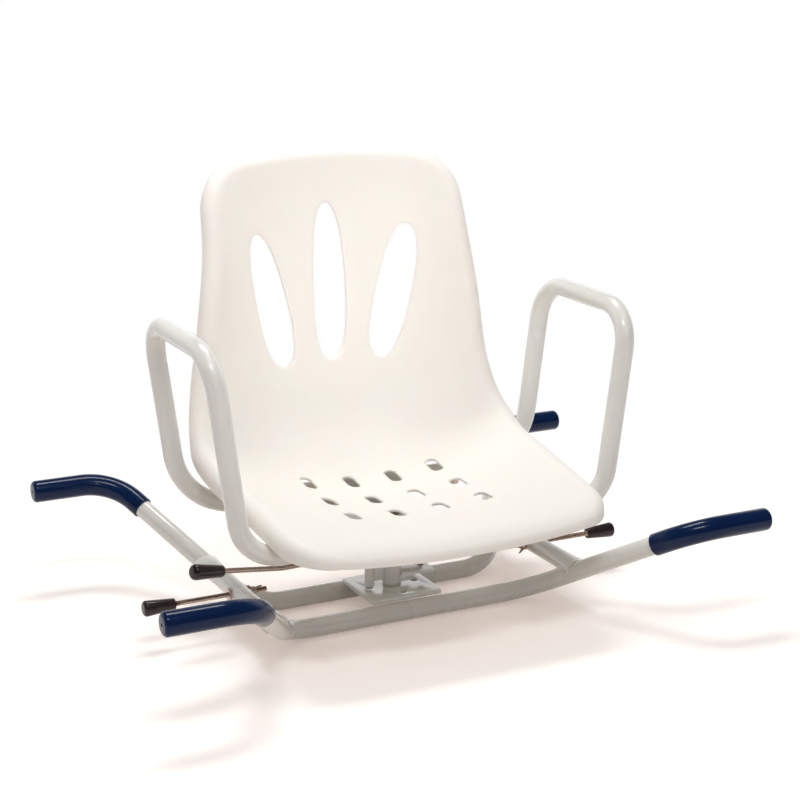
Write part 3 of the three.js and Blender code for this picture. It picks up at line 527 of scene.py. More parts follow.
@dataclass(frozen=True)
class Finish:
    """A surface finish: one principled shader with grain, drift, edge wear and dust.

    Attributes:
        name: the material's name.
        slot: the record's material slot that it belongs to; nothing reads it.
        colour: the main colour, linear.
        drift_colour: the colour it drifts towards over the surface.
        worn_colour: the colour at worn edges.
        dust_colour: the colour of what gathers in hollows.
        roughness: the lowest and highest roughness.
        metallic: 0 for paint and plastic, 1 for bare metal.
        grain: the grain's scale per metre and depth.
        waviness: the strength of the slow ripple.
        drift_scale: how quickly the colour drifts, per metre.
        wear: how strongly edges and hollows show.
        coat: the weight of a clear coat.
        coat_roughness: the roughness of the clear coat.
        subsurface: how much light passes into the surface.
        specular: the specular level.
    """

    name: str
    slot: str
    colour: Colour
    drift_colour: Colour
    worn_colour: Colour
    dust_colour: Colour
    roughness: tuple[float, float]
    metallic: float = 0.0
    grain: tuple[float, float] = (900.0, 0.1)
    waviness: float = 0.03
    drift_scale: float = 12.0
    wear: float = 0.3
    coat: float = 0.0
    coat_roughness: float = 0.1
    subsurface: float = 0.0
    specular: float = 0.5

    def build(self, grain: Tree, wear: Tree) -> bpy.types.Material:
        """Makes the material.

        Args:
            grain: the shared grain group.
            wear: the shared wear group.

        Returns:
            The new material.
        """
        material = bpy.data.materials.new(self.name)
        material.use_nodes = True
        tree = material.node_tree
        skin = add_node(
            tree,
            "Group",
            node_tree=grain,
            Scale=self.grain[0],
            Depth=self.grain[1],
            Drift_Scale=self.drift_scale,
            Waviness=self.waviness,
        ).outputs
        edges = add_node(tree, "Group", node_tree=wear, Amount=self.wear).outputs
        tone = self._blend(tree, skin["Tone"], (*self.colour, 1), self.drift_colour)
        dusty = self._blend(tree, edges["Dust"], tone, self.dust_colour)
        worn = self._blend(tree, edges["Edge"], dusty, self.worn_colour)
        low, high = self.roughness
        rough = joined(
            tree, "MapRange", skin["Tone"], From_Min=0.3, From_Max=0.7, To_Min=low, To_Max=high
        )
        feed(
            tree.nodes["Principled BSDF"],
            Base_Color=worn,
            Roughness=rough,
            Normal=skin["Normal"],
            Metallic=self.metallic,
            Specular_IOR_Level=self.specular,
            Coat_Weight=self.coat,
            Coat_Roughness=self.coat_roughness,
            Subsurface_Weight=self.subsurface,
            Subsurface_Scale=SUBSURFACE_DEPTH,
        )
        return material

    @staticmethod
    def _blend(
        tree: Tree,
        mask: Socket,
        under: Sequence[float] | Socket,
        over: Colour,
    ) -> Socket:
        """Mixes a colour over another by a mask.

        Args:
            tree: the material's nodes.
            mask: where the upper colour shows.
            under: the lower colour with its alpha, or the socket it comes from.
            over: the upper colour.

        Returns:
            The mixed colour's socket.
        """
        mix = add_node(tree, "Mix", data_type="RGBA", Factor=mask, A=under, B=(*over, 1))
        return mix.outputs["Result"]


class FinishKind(Enum):
    """The finishes that this object has."""

    POWDER_COAT = Finish(
        "White powder coat",
        "powder_coat",
        colour=linear(233, 233, 228),
        drift_colour=linear(227, 227, 221),
        worn_colour=linear(240, 240, 236),
        dust_colour=linear(190, 184, 174),
        roughness=(0.2, 0.3),
        grain=(650.0, 0.08),
        waviness=0.04,
        wear=0.3,
        coat=0.7,
        coat_roughness=0.07,
    )
    SHELL = Finish(
        "Moulded seat plastic",
        "shell_plastic",
        colour=linear(250, 247, 241),
        drift_colour=linear(247, 243, 236),
        worn_colour=linear(251, 249, 244),
        dust_colour=linear(228, 216, 204),
        roughness=(0.42, 0.52),
        grain=(1100.0, 0.14),
        waviness=0.02,
        drift_scale=5.0,
        wear=0.3,
        subsurface=0.08,
        specular=0.4,
    )
    GRIP = Finish(
        "Dipped navy vinyl",
        "grip_vinyl",
        colour=linear(5, 33, 76),
        drift_colour=linear(4, 28, 66),
        worn_colour=linear(16, 46, 92),
        dust_colour=linear(6, 22, 48),
        roughness=(0.16, 0.22),
        grain=(300.0, 0.04),
        waviness=0.06,
        drift_scale=20.0,
        wear=0.2,
        coat=0.15,
        coat_roughness=0.04,
        specular=0.15,
    )
    STEEL = Finish(
        "Bright zinc steel",
        "bright_steel",
        colour=linear(186, 168, 158),
        drift_colour=linear(160, 140, 129),
        worn_colour=linear(228, 216, 207),
        dust_colour=linear(92, 74, 66),
        roughness=(0.2, 0.34),
        metallic=1.0,
        grain=(1500.0, 0.12),
        wear=0.6,
        drift_scale=60.0,
    )
    RUBBER = Finish(
        "Black rubber",
        "black_rubber",
        colour=linear(34, 24, 24),
        drift_colour=linear(42, 31, 30),
        worn_colour=linear(64, 52, 50),
        dust_colour=linear(22, 16, 16),
        roughness=(0.24, 0.34),
        grain=(900.0, 0.08),
        wear=0.3,
        coat=0.15,
        coat_roughness=0.12,
        specular=0.3,
    )
    KNOB = Finish(
        "Black moulded knob",
        "black_plastic",
        colour=linear(30, 20, 21),
        drift_colour=linear(36, 25, 26),
        worn_colour=linear(70, 58, 58),
        dust_colour=linear(20, 14, 14),
        roughness=(0.16, 0.24),
        grain=(700.0, 0.05),
        wear=0.2,
        coat=0.25,
        coat_roughness=0.06,
        specular=0.3,
    )
    NYLON = Finish(
        "White nylon",
        "white_nylon",
        colour=linear(226, 223, 212),
        drift_colour=linear(216, 212, 200),
        worn_colour=linear(236, 234, 226),
        dust_colour=linear(150, 142, 128),
        roughness=(0.42, 0.55),
        grain=(1200.0, 0.1),
        wear=0.5,
        subsurface=0.1,
    )


@dataclass
class Finishes:
    """Builds each finish once and puts them on pieces."""

    materials: dict[FinishKind, bpy.types.Material] = field(default_factory=dict)

    def build(self) -> None:
        """Makes the shared groups and every material."""
        grain = grain_group()
        wear = wear_group()
        for kind in FinishKind:
            self.materials[kind] = kind.value.build(grain, wear)

    def dress(self, piece: Piece, kind: FinishKind) -> None:
        """Gives a piece one finish all over.

        Args:
            piece: a new piece or a CAD node.
            kind: the finish.
        """
        piece.data.materials.clear()
        piece.data.materials.append(self.materials[kind])

    def finish_piece(
        self,
        piece: Piece,
        kind: FinishKind,
        body: str,
        *stands_for: str,
        angle: float = SMOOTH_ANGLE,
    ) -> None:
        """Shades and dresses a new piece, ties it to its body and hides the CAD nodes it stands for.

        Args:
            piece: the new piece.
            kind: its finish.
            body: the CAD body it moves with.
            stands_for: the CAD nodes it replaces.
            angle: edges sharper than this stay sharp.
        """
        smooth(piece, angle)
        self.dress(piece, kind)
        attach(piece, body)
        if stands_for:
            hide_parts(*stands_for)
        log.info("%s: %d faces", piece.name, len(piece.data.polygons))


# The object's sub-assemblies


@dataclass
class BaseFrame:
    """Two bent base tubes joined by braces and the pivot plate, with dipped grips on their ends."""

    finishes: Finishes
    tube: float = 22 * MM
    end_x: float = 357 * MM
    handle_corner: Vector = field(default_factory=lambda: Vector((262, 232, 124)) * MM)
    low_corner: Vector = field(default_factory=lambda: Vector((156, 46, 11)) * MM)
    low_bend: float = 60 * MM
    handle_bend: float = 62 * MM
    brace_share: float = 0.33
    brace_flare: float = 0.5
    brace_flare_start: float = 0.35
    grip_diameter: float = 26 * MM
    grip_run: float = 16 * MM
    grip_cap: float = 3 * MM
    grip_edge: float = 4.5 * MM
    vent: float = 2 * MM
    plate: Vector = field(default_factory=lambda: Vector((90, 84, 5)) * MM)
    index_radius: float = 29 * MM
    index_hole: float = 4.2 * MM
    grip_lip: float = 1.2 * MM
    vent_depth: float = 3 * MM
    brace_gap: float = 4 * MM
    brace_stations: int = 24
    plate_gap: float = 0.3 * MM
    plate_corner: float = 3 * MM
    plate_edge: float = 0.5 * MM

    def corner(self, point: Vector, side: int, end: int) -> Vector:
        """Mirrors a corner of the front right quarter to another quarter."""
        return Vector((side * point.x, end * point.y, point.z))

    def tube_corners(self, end: End) -> tuple[Vector, ...]:
        """The corners of one base tube's axis, from its left end to its right end."""
        tip = Vector((self.end_x, self.handle_corner.y, self.handle_corner.z))
        half = [tip, self.handle_corner, self.low_corner]
        left = [self.corner(point, -1, end.value) for point in half]
        right = [self.corner(point, 1, end.value) for point in reversed(half)]
        return tuple(left + right)

    @property
    def plate_bottom(self) -> float:
        """The height of the pivot plate's underside."""
        return self.tube + self.plate_gap

    @property
    def plate_top(self) -> float:
        """The height of the pivot plate's upper face."""
        return self.plate_bottom + self.plate.z

    @property
    def brace_middle(self) -> Vector:
        """The right brace's meeting point with the rear base tube's axis."""
        return self.low_corner.lerp(self.handle_corner, self.brace_share)

    def build(self) -> None:
        """Builds the tubes, grips, braces and the pivot plate."""
        for end in End:
            radii = (self.handle_bend, self.low_bend, self.low_bend, self.handle_bend)
            bar = BentBar(self.tube_corners(end), radii, self.tube, steps_per_turn=80)
            piece = bar.build(f"{end.word}_base_bar")
            self.finishes.finish_piece(piece, FinishKind.POWDER_COAT, "base", f"{end.word}_base_tube")
        self.build_grips()
        for side in Side:
            self.build_brace(side)
        self.build_plate()

    def build_grips(self) -> None:
        """Builds one dipped grip and copies it to the four tube ends."""
        corners = self.tube_corners(End.FRONT)
        start = corners[0] - Vector((self.grip_cap, 0, 0))
        along = (corners[2] - corners[1]).normalized()
        turn = (corners[1] - corners[0]).angle(corners[2] - corners[1])
        reach = self.handle_bend * math.tan(turn / 2) + self.grip_run
        path = (start, corners[1], corners[1] + along * reach)
        bar = BentBar(path, (self.handle_bend,), self.grip_diameter, steps_per_turn=110)
        grip = bar.build("grip_skin_front_left")

        def on_rim(point: Vector) -> bool:
            radius = (point - start).length
            return abs(point.x - start.x) < 1e-5 and abs(radius - self.grip_diameter / 2) < 1e-4

        with editing(grip):
            select_only(grip, "FACE", flat_end(start, Vector((-1, 0, 0))))
            bpy.ops.mesh.inset(thickness=self.grip_diameter / 2 - self.vent, depth=0)
            extrude_by(Vector((self.vent_depth, 0, 0)))
            select_only(grip, "EDGE", lambda a, b: on_rim(a) and on_rim(b))
            bpy.ops.mesh.bevel(offset=self.grip_edge, segments=6, profile=0.5)
            select_only(grip, "FACE", flat_end(path[-1], along))
            bpy.ops.mesh.bevel(offset=self.grip_lip, segments=4, profile=0.6)
        quarter_turns = {
            ("front", "left"): Matrix.Identity(4),
            ("rear", "right"): Matrix.Rotation(math.pi, 4, "Z"),
            ("rear", "left"): Matrix.Scale(-1, 4, Vector((0, 1, 0))),
            ("front", "right"): Matrix.Scale(-1, 4, Vector((1, 0, 0))),
        }
        for (end, side), change in quarter_turns.items():
            name = f"grip_skin_{end}_{side}"
            piece = grip if name == grip.name else copied(grip, name, change)
            self.finishes.finish_piece(piece, FinishKind.GRIP, "base", f"grip_{end}_{side}")

    def build_brace(self, side: Side) -> None:
        """Builds a brace whose ends flare to meet the base tubes.

        Args:
            side: which brace.
        """
        middle = self.brace_middle
        x = side.value * middle.x
        half = middle.y - self.brace_gap
        count = self.brace_stations
        profile = tuple((self.tube / 2, -half + 2 * half * k / count) for k in range(count + 1))
        bar = TurnedPiece(Vector((x, 0, middle.z)), Vector((0, 1, 0)), profile, 40)
        brace = bar.build(f"{side.word}_brace_bar")
        for point in brace.data.vertices:
            out = (abs(point.co.y) / middle.y - self.brace_flare_start) / (1 - self.brace_flare_start)
            point.co.x = x + (point.co.x - x) * (1 + self.brace_flare * max(out, 0) ** 2)
        self.finishes.finish_piece(brace, FinishKind.POWDER_COAT, "base", f"{side.word}_brace_tube")

    def build_plate(self) -> None:
        """Builds the pivot plate with its four index holes."""
        select_nothing()
        centre = Vector((0, 0, (self.plate_bottom + self.plate_top) / 2))
        bpy.ops.mesh.primitive_cube_add(size=1, location=centre, scale=self.plate)
        plate = settle(bpy.context.object, "pivot_plate_skin")
        with editing(plate):
            select_only(plate, "EDGE", lambda a, b: abs(a.z - b.z) > MM)
            bpy.ops.mesh.bevel(offset=self.plate_corner, segments=5, profile=0.5)
        for k in range(4):
            angle = k * math.pi / 2
            place = Vector((math.cos(angle), math.sin(angle), 0)) * self.index_radius
            select_nothing()
            bpy.ops.mesh.primitive_cylinder_add(
                vertices=32, radius=self.index_hole, depth=self.plate.z * 4, location=place + centre
            )
            cut_away(plate, settle(bpy.context.object, "index_drill"))
        round_edges(plate, self.plate_edge, 2)
        self.finishes.finish_piece(plate, FinishKind.POWDER_COAT, "base", "pivot_plate")


@dataclass
class WallBuffer:
    """A threaded rod through a brace, with its rubber tip, flanged bush, washer and wing nut."""

    finishes: Finishes
    side: Side
    base: BaseFrame
    rod: float = 6 * MM
    pitch: float = 1.0 * MM
    inside: float = 22 * MM
    outside: float = 65 * MM
    tip_length: float = 37 * MM
    tip_radius: float = 9 * MM
    tip_root: float = 6.5 * MM
    tip_edge: float = 4 * MM
    nut_length: float = 7 * MM
    nut_radius: float = 5.5 * MM
    wing_reach: float = 10 * MM
    wing_turn: float = 0.8
    wing_thickness: float = 2.4 * MM
    thread_depth: float = 0.45 * MM
    thread_angle: float = 80
    washer: float = 2.1 * MM
    play: float = 0.1 * MM
    hidden_rod: float = 3 * MM

    def __post_init__(self) -> None:
        """Works out where the rod crosses the brace and which way it points outwards."""
        middle = self.base.brace_middle
        self.word = self.side.word
        self.centre = Vector((self.side.value * middle.x, 0, middle.z))
        self.way = Vector((self.side.value, 0, 0))
        self.wall = self.base.tube / 2

    def build(self) -> None:
        """Builds the rod, the rubber tip and the wing nut."""
        self.build_rod()
        root = self.wall + self.outside
        profile = (
            (self.rod / 2, root + 0.6 * MM),
            (self.tip_root - 1.2 * MM, root),
            (self.tip_root - 0.3 * MM, root + 0.3 * MM),
            (self.tip_root, root + 1.2 * MM),
            *domed_end(self.tip_radius, self.tip_edge, root + self.tip_length),
        )
        tip = TurnedPiece(self.centre, self.way, profile, 36).build(f"{self.word}_buffer_rubber")
        self.finishes.finish_piece(tip, FinishKind.RUBBER, f"{self.word}_buffer", f"{self.word}_buffer_tip")
        self.build_wing_nut()

    def build_rod(self) -> None:
        """Builds the rod from one thread, repeated along it."""
        start = -self.wall - self.inside
        crest = self.rod / 2
        root = crest - self.thread_depth
        profile = ((root, start), (crest, start + self.pitch * 0.5), (root, start + self.pitch))
        rod = ring_at(self.centre + self.way * start, self.way, root, 20, f"{self.word}_threaded_rod")
        with editing(rod):
            bpy.ops.mesh.select_all(action="SELECT")
            extrude_profile(self.centre, self.way, profile)
        apply_modifier(
            rod,
            "ARRAY",
            count=round((self.inside + 2 * self.wall + self.outside + self.hidden_rod) / self.pitch),
            use_relative_offset=False,
            use_constant_offset=True,
            constant_offset_displace=self.way * self.pitch,
            use_merge_vertices=True,
            merge_threshold=1e-5,
        )
        with editing(rod):
            close_ends(rod)
        body = f"{self.word}_buffer"
        angle = math.radians(self.thread_angle)
        self.finishes.finish_piece(rod, FinishKind.STEEL, body, f"{body}_rod", angle=angle)

    def build_wing_nut(self) -> None:
        """Builds a wing nut: a tapered barrel with two raked wings."""
        near = -self.wall - self.washer
        far = near - self.nut_length
        bore = self.rod / 2 + self.play
        profile = (
            (bore, far),
            (self.nut_radius * 0.7, far),
            (self.nut_radius * 0.8, near - self.nut_length * 0.93),
            (self.nut_radius * 0.97, near - self.nut_length * 0.12),
            (self.nut_radius * 0.92, near),
            (bore, near),
            (bore, far),
        )
        barrel = TurnedPiece(self.centre, self.way, profile, 24, closed_ring=True)
        nut = barrel.build(f"{self.word}_wing_nut_skin")
        nut = join_pieces([nut, *(self.build_wing(turn) for turn in (1, -1))])
        lean = Matrix.Rotation(-self.side.value * self.wing_turn, 4, "X")
        nut.data.transform(Matrix.Translation(self.centre) @ lean @ Matrix.Translation(-self.centre))
        self.finishes.finish_piece(nut, FinishKind.STEEL, f"{self.word}_wing_nut", f"{self.word}_wing_nut")

    def build_wing(self, turn: int) -> Piece:
        """Builds one upright wing, raked away from the brace and rounded.

        Args:
            turn: 1 for the upper wing, -1 for the lower one.

        Returns:
            The wing.
        """
        up = Vector((0, 0, turn))
        root = self.nut_length * 0.75
        inwards = self.wall + self.washer + root / 2 + 0.6 * MM
        place = self.centre - self.way * inwards + up * (self.nut_radius * 0.72)
        select_nothing()
        size = (root, self.wing_thickness, self.nut_radius * 0.4)
        bpy.ops.mesh.primitive_cube_add(size=1, location=place, scale=size)
        wing = settle(bpy.context.object, "wing")
        steps = ((2.2 * MM, 2.0 * MM, 1.0), (2.4 * MM, 3.2 * MM, 0.95), (1.6 * MM, 2.6 * MM, 0.6))
        with editing(wing):
            select_only(wing, "FACE", lambda middle, normal: normal.z * turn > 0.9)
            middle = place + up * (self.nut_radius * 0.2)
            for rise, rake, share in steps:
                move = up * rise - self.way * rake
                extrude_by(move)
                middle = middle + move
                bpy.ops.transform.resize(value=(share, 1.0, 1.0), center_override=middle)
        apply_modifier(wing, "SUBSURF", levels=2, render_levels=2)
        return wing


@dataclass
class ArmFrame:
    """One bent tube that is an armrest above and carries the seat on its two lower runs."""

    finishes: Finishes
    side: Side
    tube: float = 22 * MM
    run_height: float = 124 * MM
    top_height: float = 350 * MM
    top_x: float = 253 * MM
    lean: float = 0.13
    front_y: float = 100 * MM
    rear_y: float = 91 * MM
    inner_x: float = 0.5 * MM
    top_bend: float = 46 * MM
    front_bend: float = 49 * MM
    rear_bend: float = 78 * MM

    def build(self) -> None:
        """Builds the tube."""
        low_x = self.top_x - self.lean * (self.top_height - self.run_height)
        rows = [
            (self.inner_x, -self.front_y, self.run_height),
            (low_x, -self.front_y, self.run_height),
            (self.top_x, -self.front_y, self.top_height),
            (self.top_x, self.rear_y, self.top_height),
            (low_x, self.rear_y, self.run_height),
            (self.inner_x, self.rear_y, self.run_height),
        ]
        corners = tuple(Vector((self.side.value * x, y, z)) for x, y, z in rows)
        radii = (self.front_bend, self.top_bend, self.top_bend, self.rear_bend)
        arm = BentBar(corners, radii, self.tube, steps_per_turn=72).build(f"{self.side.word}_arm_bar")
        self.finishes.finish_piece(arm, FinishKind.POWDER_COAT, "seat", f"{self.side.word}_arm_tube")


def catmull_rom(points: Sequence[Sequence[float]], share: float) -> list[float]:
    """Reads a smooth line through points at a share of its stations.

    Args:
        points: the stations' values.
        share: 0 at the first station, 1 at the last.

    Returns:
        The values there.
    """
    place = min(max(share, 0.0), 1.0) * (len(points) - 1)
    index = min(int(place), len(points) - 2)
    t = place - index
    here, following = points[index], points[index + 1]
    before = points[index - 1] if index > 0 else [2 * a - b for a, b in zip(here, following)]
    after = points[index + 2] if index + 2 < len(points) else [2 * b - a for a, b in zip(here, following)]
    result = []
    for p0, p1, p2, p3 in zip(before, here, following, after):
        slope_in = (p2 - p0) / 2
        slope_out = (p3 - p1) / 2
        result.append(
            p1 * (2 * t**3 - 3 * t**2 + 1)
            + slope_in * (t**3 - 2 * t**2 + t)
            + p2 * (3 * t**2 - 2 * t**3)
            + slope_out * (t**3 - t**2)
        )
    return result


@dataclass
class SeatShell:
    """The one-piece moulded shell with its rolled rim, back slots and drain slots.

    Each station has Y as a share of the reach, Z as a share of the rise, the width's share and the lift of
    the sides. Each back slot has its middle across and up, its length, its width and its lean. The ramps and
    ranges are station shares: where the skirt changes, and where the seat and the back are searched.
    """

    finishes: Finishes
    reach: float = 186 * MM
    height: float = 137.5 * MM
    rise: float = 370.5 * MM
    half_width: float = 202.5 * MM
    side_rise: float = 43 * MM
    wall: float = 4 * MM
    rim: float = 14 * MM
    lip_skirt: float = 1 * MM
    seat_skirt: float = 8 * MM
    back_skirt: float = 1 * MM
    top_bow: float = 11 * MM
    top_drop: float = 40 * MM
    front_bow: float = 5 * MM
    front_drop: float = 50 * MM
    corner_start: float = 0.74
    dish_power: float = 2.2
    crest: float = 0.2
    columns: int = 64
    rows: int = 96
    rim_steps: int = 6
    slot_edge: float = 1.6 * MM
    drain_pitch: Vector = field(default_factory=lambda: Vector((54.4, 61)) * MM)
    drain_forward: float = 10 * MM
    drain_length: float = 29 * MM
    drain_width: float = 14 * MM
    screw_across: float = 130 * MM
    screw_rows: tuple[float, float] = (-100 * MM, 91 * MM)
    boss_radius: float = 8 * MM
    boss_foot: float = 135.3 * MM
    boss_edge: float = 0.6 * MM
    bore_radius: float = 3.3 * MM
    bore_foot: float = 124 * MM
    bore_skin: float = 1.6 * MM
    seat_ramp: tuple[float, float] = (0.03, 0.16)
    back_ramp: tuple[float, float] = (0.45, 0.62)
    seat_range: tuple[float, float] = (0.12, 0.6)
    back_range: tuple[float, float] = (0.5, 1.0)
    search_steps: int = 30
    wall_edge: float = 1.2 * MM
    wall_edge_angle: float = 60
    slot_flare: float = 5 * MM
    slot_steps: int = 5
    back_slots: tuple[tuple[float, float, float, float, float], ...] = (
        (0.0, 357 * MM, 190 * MM, 42 * MM, 0.0),
        (-80 * MM, 342 * MM, 166 * MM, 43 * MM, -0.22),
        (80 * MM, 342 * MM, 166 * MM, 43 * MM, 0.22),
    )
    stations: tuple[tuple[float, float, float, float], ...] = (
        (-0.984, -0.0067, 0.955, 0.1),
        (-0.925, 0.0108, 0.958, 0.17),
        (-0.806, 0.0175, 0.96, 0.27),
        (-0.645, 0.016, 0.963, 0.38),
        (-0.382, 0.008, 0.97, 0.6),
        (-0.054, 0.0, 0.98, 0.85),
        (0.274, 0.0095, 0.99, 0.95),
        (0.538, 0.0486, 1.0, 1.0),
        (0.704, 0.1147, 0.98, 1.0),
        (0.817, 0.209, 0.953, 1.0),
        (0.876, 0.3387, 0.915, 1.0),
        (0.903, 0.5196, 0.863, 1.1),
        (0.935, 0.7085, 0.812, 1.06),
        (0.978, 0.8704, 0.793, 0.86),
        (1.003, 0.986, 0.785, 0.72),
    )

    def __post_init__(self) -> None:
        """Measures the middle line, so that rows can be spaced evenly along it."""
        samples = 400
        self._lengths = [0.0]
        last = self.middle(0.0)
        for k in range(1, samples + 1):
            point = self.middle(k / samples)
            self._lengths.append(self._lengths[-1] + (point - last).length)
            last = point

    @property
    def length(self) -> float:
        """The length of the middle line."""
        return self._lengths[-1]

    def at_length(self, share: float) -> float:
        """The station share at a share of the middle line's length."""
        target = min(max(share, 0.0), 1.0) * self.length
        low = 0
        high = len(self._lengths) - 1
        while high - low > 1:
            mid = (low + high) // 2
            if self._lengths[mid] <= target:
                low = mid
            else:
                high = mid
        span = self._lengths[high] - self._lengths[low]
        part = (target - self._lengths[low]) / span if span else 0.0
        return (low + part) / (len(self._lengths) - 1)

    def middle(self, t: float) -> Vector:
        """A point of the shell's middle line."""
        y, z, _, _ = catmull_rom(self.stations, t)
        return Vector((0, y * self.reach, self.height + z * self.rise))

    def middle_normal(self, t: float) -> Vector:
        """The way the sitting surface faces on the middle line."""
        step = 1e-3
        along = (self.middle(min(t + step, 1)) - self.middle(max(t - step, 0))).normalized()
        return Vector((0, -along.z, along.y))

    def surface(self, across: float, t: float) -> Vector:
        """A point of the sitting surface.

        Args:
            across: from -1 at the left edge to 1 at the right edge.
            t: the station share.

        Returns:
            The point.
        """
        _, _, width, lift = catmull_rom(self.stations, t)
        lift *= self.side_rise * abs(across) ** self.dish_power
        point = self.middle(t) + self.middle_normal(t) * lift
        point.x = across * (width * self.half_width - self.rim)
        return point

    def normal(self, across: float, t: float) -> Vector:
        """The way the sitting surface faces at a point."""
        step = 1e-3
        sideways = self.surface(across + step, t) - self.surface(across - step, t)
        along = self.surface(across, min(t + step, 1)) - self.surface(across, max(t - step, 0))
        return sideways.cross(along).normalized()

    def corner_drop(self, across: float) -> float:
        """How far a rounded corner has dropped at a place across, as a share of its size."""
        into = (abs(across) - self.corner_start) / (1 - self.corner_start)
        if into <= 0:
            return 0.0
        return 1 - math.sqrt(max(0.0, 1 - into * into))

    def places_across(self) -> list[float]:
        """The grid's columns, closer together where the corners turn."""
        straight = self.columns - 2 * (self.columns // 5)
        corner = self.columns // 5
        inner = [self.corner_start * (2 * k / straight - 1) for k in range(straight + 1)]
        outer = [
            self.corner_start + (1 - self.corner_start) * math.sin(k / corner * math.pi / 2)
            for k in range(1, corner + 1)
        ]
        return [-place for place in reversed(outer)] + inner + outer

    def skirt(self, t: float) -> float:
        """How far the rolled edge runs on straight at a station."""

        def ramp(low: float, high: float) -> float:
            share = min(max((t - low) / (high - low), 0.0), 1.0)
            return share * share * (3 - 2 * share)

        deep = self.lip_skirt + (self.seat_skirt - self.lip_skirt) * ramp(*self.seat_ramp)
        return deep + (self.back_skirt - deep) * ramp(*self.back_ramp)

    def build(self) -> None:
        """Builds the sheet, rolls its rim, gives it a wall and cuts its slots."""
        shell = self.build_sheet()
        self.roll_rim(shell)
        self.thicken(shell)
        self.cut_slots(shell)
        self.add_bosses(shell)
        self.finishes.finish_piece(shell, FinishKind.SHELL, "seat", "seat_shell", angle=math.radians(50))

    def build_sheet(self) -> Piece:
        """Adds a grid and lays its points on the sitting surface.

        Returns:
            The sheet.
        """
        across = self.places_across()
        count = len(across)
        select_nothing()
        bpy.ops.mesh.primitive_grid_add(x_subdivisions=count - 1, y_subdivisions=self.rows, size=2)
        sheet = settle(bpy.context.object, "moulded_shell")
        self._edge: dict[int, tuple[float, float]] = {}
        for index, point in enumerate(sheet.data.vertices):
            column = round((point.co.x + 1) / 2 * (count - 1))
            row = round((point.co.y + 1) / 2 * self.rows)
            a = across[column]
            front = (self.front_bow * a * a + self.front_drop * self.corner_drop(a)) / self.length
            top = 1 - (self.top_bow * a * a + self.top_drop * self.corner_drop(a)) / self.length
            t = self.at_length(front + (top - front) * row / self.rows)
            point.co = self.surface(a, t)
            if column in (0, count - 1) or row in (0, self.rows):
                self._edge[index] = (a, t)
        return sheet

    def roll_rim(self, shell: Piece) -> None:
        """Extrudes the sheet's edge into a quarter round and a short straight skirt.

        Args:
            shell: the sheet.
        """

        def key_of(place: Vector) -> tuple[float, ...]:
            return tuple(round(c, 6) for c in place)

        mesh = bmesh.new()
        mesh.from_mesh(shell.data)
        mesh.verts.ensure_lookup_table()
        current = {}
        for index, (across, t) in self._edge.items():
            point = mesh.verts[index]
            neighbours = [e.other_vert(point) for e in point.link_edges if e.is_boundary]
            normal = self.normal(max(-1.0, min(1.0, across)), t)
            along = (neighbours[1].co - neighbours[0].co).normalized()
            outward = along.cross(normal).normalized()
            inner = sum((e.other_vert(point).co for e in point.link_edges), Vector()) / len(point.link_edges)
            if outward.dot(point.co - inner) < 0:
                outward.negate()
            skirt_way = -self.middle_normal(max(t, self.crest))
            turn = outward.angle(skirt_way)
            inward = (skirt_way - outward * skirt_way.dot(outward)).normalized()
            current[key_of(point.co)] = (point.co.copy(), outward, inward, turn, skirt_way, self.skirt(t))
        mesh.free()
        log.info("rim rolled from %d edge points", len(current))
        with editing(shell):
            bpy.ops.mesh.select_mode(type="EDGE")
            bpy.ops.mesh.select_all(action="DESELECT")
            bpy.ops.mesh.select_non_manifold(
                extend=False, use_wire=False, use_multi_face=False, use_non_contiguous=False, use_verts=False
            )
            for step in range(1, self.rim_steps + 2):
                extrude_by(Vector())
                edit = bmesh.from_edit_mesh(shell.data)
                following = {}
                for point in edit.verts:
                    if not point.select:
                        continue
                    key = key_of(point.co)
                    start, outward, inward, turn, skirt_way, skirt = current[key]
                    angle = turn * min(step, self.rim_steps) / self.rim_steps
                    place = start + inward * (self.rim * (1 - math.cos(angle)))
                    place = place + outward * (self.rim * math.sin(angle))
                    if step > self.rim_steps:
                        place = place + skirt_way * skirt
                    point.co = place
                    following[key_of(place)] = current[key]
                bmesh.update_edit_mesh(shell.data)
                current = following

    def thicken(self, shell: Piece) -> None:
        """Gives the sheet its wall and rounds the wall's open edge.

        Args:
            shell: the sheet with its rim.
        """
        with editing(shell):
            bpy.ops.mesh.select_all(action="SELECT")
            bpy.ops.mesh.normals_make_consistent(inside=False)
            edit = bmesh.from_edit_mesh(shell.data)
            probe = self.surface(0.0, 0.35)
            nearest = min(edit.faces, key=lambda face: (face.calc_center_median() - probe).length)
            if nearest.normal.z < 0:
                bpy.ops.mesh.flip_normals()
        apply_modifier(shell, "SOLIDIFY", thickness=self.wall, offset=-1, use_even_offset=True)
        round_edges(shell, self.wall_edge, 3, self.wall_edge_angle)

